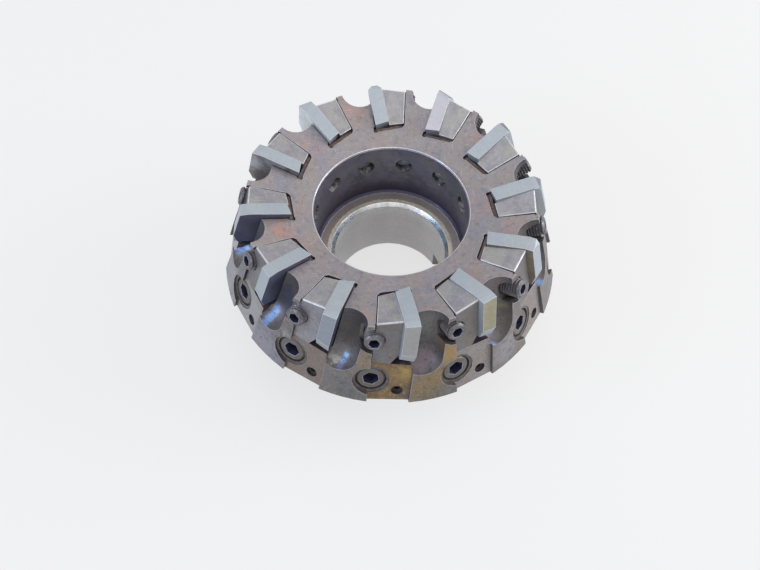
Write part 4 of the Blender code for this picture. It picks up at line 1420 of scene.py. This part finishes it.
@dataclass
class Studio:
    """Camera, floor and lights."""

    image_width: float = 760.0
    focal_pixels: float = 1007.12
    elevation: float = 58.4759
    roll: float = 1.3565
    yaw: float = -0.1979
    eye: Triple = (-2.499, -192.973, 315.950)
    mill_turn: float = -7.9028
    background: float = 0.905
    ambient: float = 0.48
    floor_glow: float = 0.75
    floor_size: float = 3.0
    floor_tone: tuple[float, float, float, float] = (0.83, 0.83, 0.84, 1.0)
    sensor_width: float = 36.0
    aim: Triple = (0.0, 0.0, 0.04)
    lamps: tuple[Lamp, ...] = (
        Lamp("top_lamp", (0.05, 0.12, 1.0), 1.1, 3.05, (1.0, 0.99, 0.98)),
        Lamp("window_lamp", (-0.7, -0.3, 0.4), 0.45, 2.6, (0.60, 0.75, 1.0)),
        Lamp("right_lamp", (0.75, 0.1, 0.3), 0.5, 4.6, (0.97, 0.97, 1.0)),
    )

    def camera(self) -> None:
        """Camera at the photograph's place and angle."""
        lift, swing, lean = (math.radians(value) for value in (self.elevation, self.yaw, self.roll))
        forward = Vector((math.sin(swing), math.cos(swing), 0.0)) * math.cos(lift)
        forward.z = -math.sin(lift)
        level = Vector((math.cos(swing), -math.sin(swing), 0.0))
        above = level.cross(forward)
        right = level * math.cos(lean) + above * math.sin(lean)
        upward = above * math.cos(lean) - level * math.sin(lean)
        place = Matrix((right, upward, -forward)).transposed().to_4x4()
        place.translation = Vector(self.eye) * MM
        data = bpy.data.cameras.new("camera")
        data.sensor_width = self.sensor_width
        data.lens = self.focal_pixels / self.image_width * data.sensor_width
        data.clip_start = 0.01
        data.clip_end = 20.0
        camera = bpy.data.objects.new("camera", data)
        bpy.context.scene.collection.objects.link(camera)
        camera.matrix_world = turn(self.mill_turn) @ place
        bpy.context.scene.camera = camera

    def light(self, lamp: Lamp) -> None:
        """Hang a lamp, which turns with the camera."""
        data = bpy.data.lights.new(lamp.name, "AREA")
        data.shape = "SQUARE"
        data.size = lamp.size
        data.energy = lamp.power
        data.color = lamp.colour
        hung = bpy.data.objects.new(lamp.name, data)
        bpy.context.scene.collection.objects.link(hung)
        hung.location = turn(self.mill_turn) @ Vector(lamp.place)
        hung.rotation_euler = (Vector(self.aim) - hung.location).to_track_quat("-Z", "Y").to_euler()

    def seen(self, tree: bpy.types.NodeTree) -> Socket:
        """1 for camera, glossy and transmission rays, else 0."""
        path = tree.nodes.new("ShaderNodeLightPath")
        total = path.outputs["Is Camera Ray"]
        for name in ("Is Glossy Ray", "Is Transmission Ray"):
            node = tree.nodes.new("ShaderNodeMath")
            node.operation = "MAXIMUM"
            tree.links.new(total, node.inputs[0])
            tree.links.new(path.outputs[name], node.inputs[1])
            total = node.outputs[0]
        return total

    def world(self) -> None:
        """Pale surroundings."""
        world = bpy.data.worlds.new("pale_room")
        world.use_nodes = True
        bpy.context.scene.world = world
        tree = world.node_tree
        back = tree.nodes["Background"]
        back.inputs["Color"].default_value = (1.0, 1.0, 1.0, 1.0)
        level = tree.nodes.new("ShaderNodeMapRange")
        level.inputs["To Min"].default_value = self.ambient
        level.inputs["To Max"].default_value = self.background
        tree.links.new(self.seen(tree), level.inputs["Value"])
        tree.links.new(level.outputs["Result"], back.inputs["Strength"])

    def floor(self) -> None:
        """Plain pale floor that keeps the mill's shadow."""
        bm = bmesh.new()
        bmesh.ops.create_grid(bm, x_segments=1, y_segments=1, size=self.floor_size)
        mesh = bpy.data.meshes.new("floor")
        bm.to_mesh(mesh)
        bm.free()
        floor = bpy.data.objects.new("floor", mesh)
        bpy.context.scene.collection.objects.link(floor)
        board = Board("pale_floor")
        board.dress(Base_Color=self.floor_tone, Roughness=0.7)
        glow = board.add("ShaderNodeEmission", {"Strength": self.background})
        mix = board.add("ShaderNodeMixShader")
        share = board.math("MULTIPLY", self.seen(board.tree), self.floor_glow)
        board.tree.links.new(share, mix.inputs[0])
        board.tree.links.new(board.shader.outputs[0], mix.inputs[1])
        board.tree.links.new(glow.outputs[0], mix.inputs[2])
        board.tree.links.new(mix.outputs[0], board.tree.nodes["Material Output"].inputs["Surface"])
        mesh.materials.append(board.material)
        floor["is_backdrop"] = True

    def build(self) -> None:
        """Build the studio."""
        bpy.context.scene.view_settings.view_transform = "Standard"
        self.camera()
        self.world()
        self.floor()
        for lamp in self.lamps:
            self.light(lamp)


def corners(box: tuple[Vector, Vector]) -> list[list[float]]:
    """A box as plain lists of numbers."""
    return [list(corner) for corner in box]


def main() -> None:
    """Dress the mill and set the studio round it."""
    logging.basicConfig(level=logging.INFO, format="%(name)s: %(message)s")
    sizes = {"cad": corners(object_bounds())}
    Studio().build()
    CutterBody().build()
    PocketGrit().build()
    InsertSet().build()
    WedgeSet().build()
    # socket holds the dark oxide with painted shade of the socket walls, rim the painted highlight of the
    # socket's rim.
    side, end, bronze, socket, rim = [finish.material() for finish in
                                      (SCREW_SIDE, SCREW_END, SCREW_BRONZE, SCREW_SOCKET_OXIDE_AND_SHADE, SCREW_RIM_HIGHLIGHT)]
    clamp_screws = SocketScrews("wedge_clamp_screw", "wedge_screw", diameter=6.35, length=19.0, socket=3.2,
                                socket_depth=3.2, pitch=0.907, place=LAYOUT.wedge_screw, stand=1.6,
                                stands={12: 2.1, 11: 0.9, 10: 1.25, 9: 2.2, 8: 1.65})
    clamp_screws.build([side, end, socket, rim])
    rim_screws = SocketScrews("rim_lock_screw", "rim_screw", diameter=9.5, length=11.0, socket=4.75,
                              socket_depth=4.0, pitch=1.058, place=LAYOUT.rim_screw, stand=-0.4, segments=40)
    rim_screws.build([bronze, bronze, socket, rim])
    ScrewTips().build()
    sizes["visual"] = corners(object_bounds())


if __name__ == "__main__":
    main()
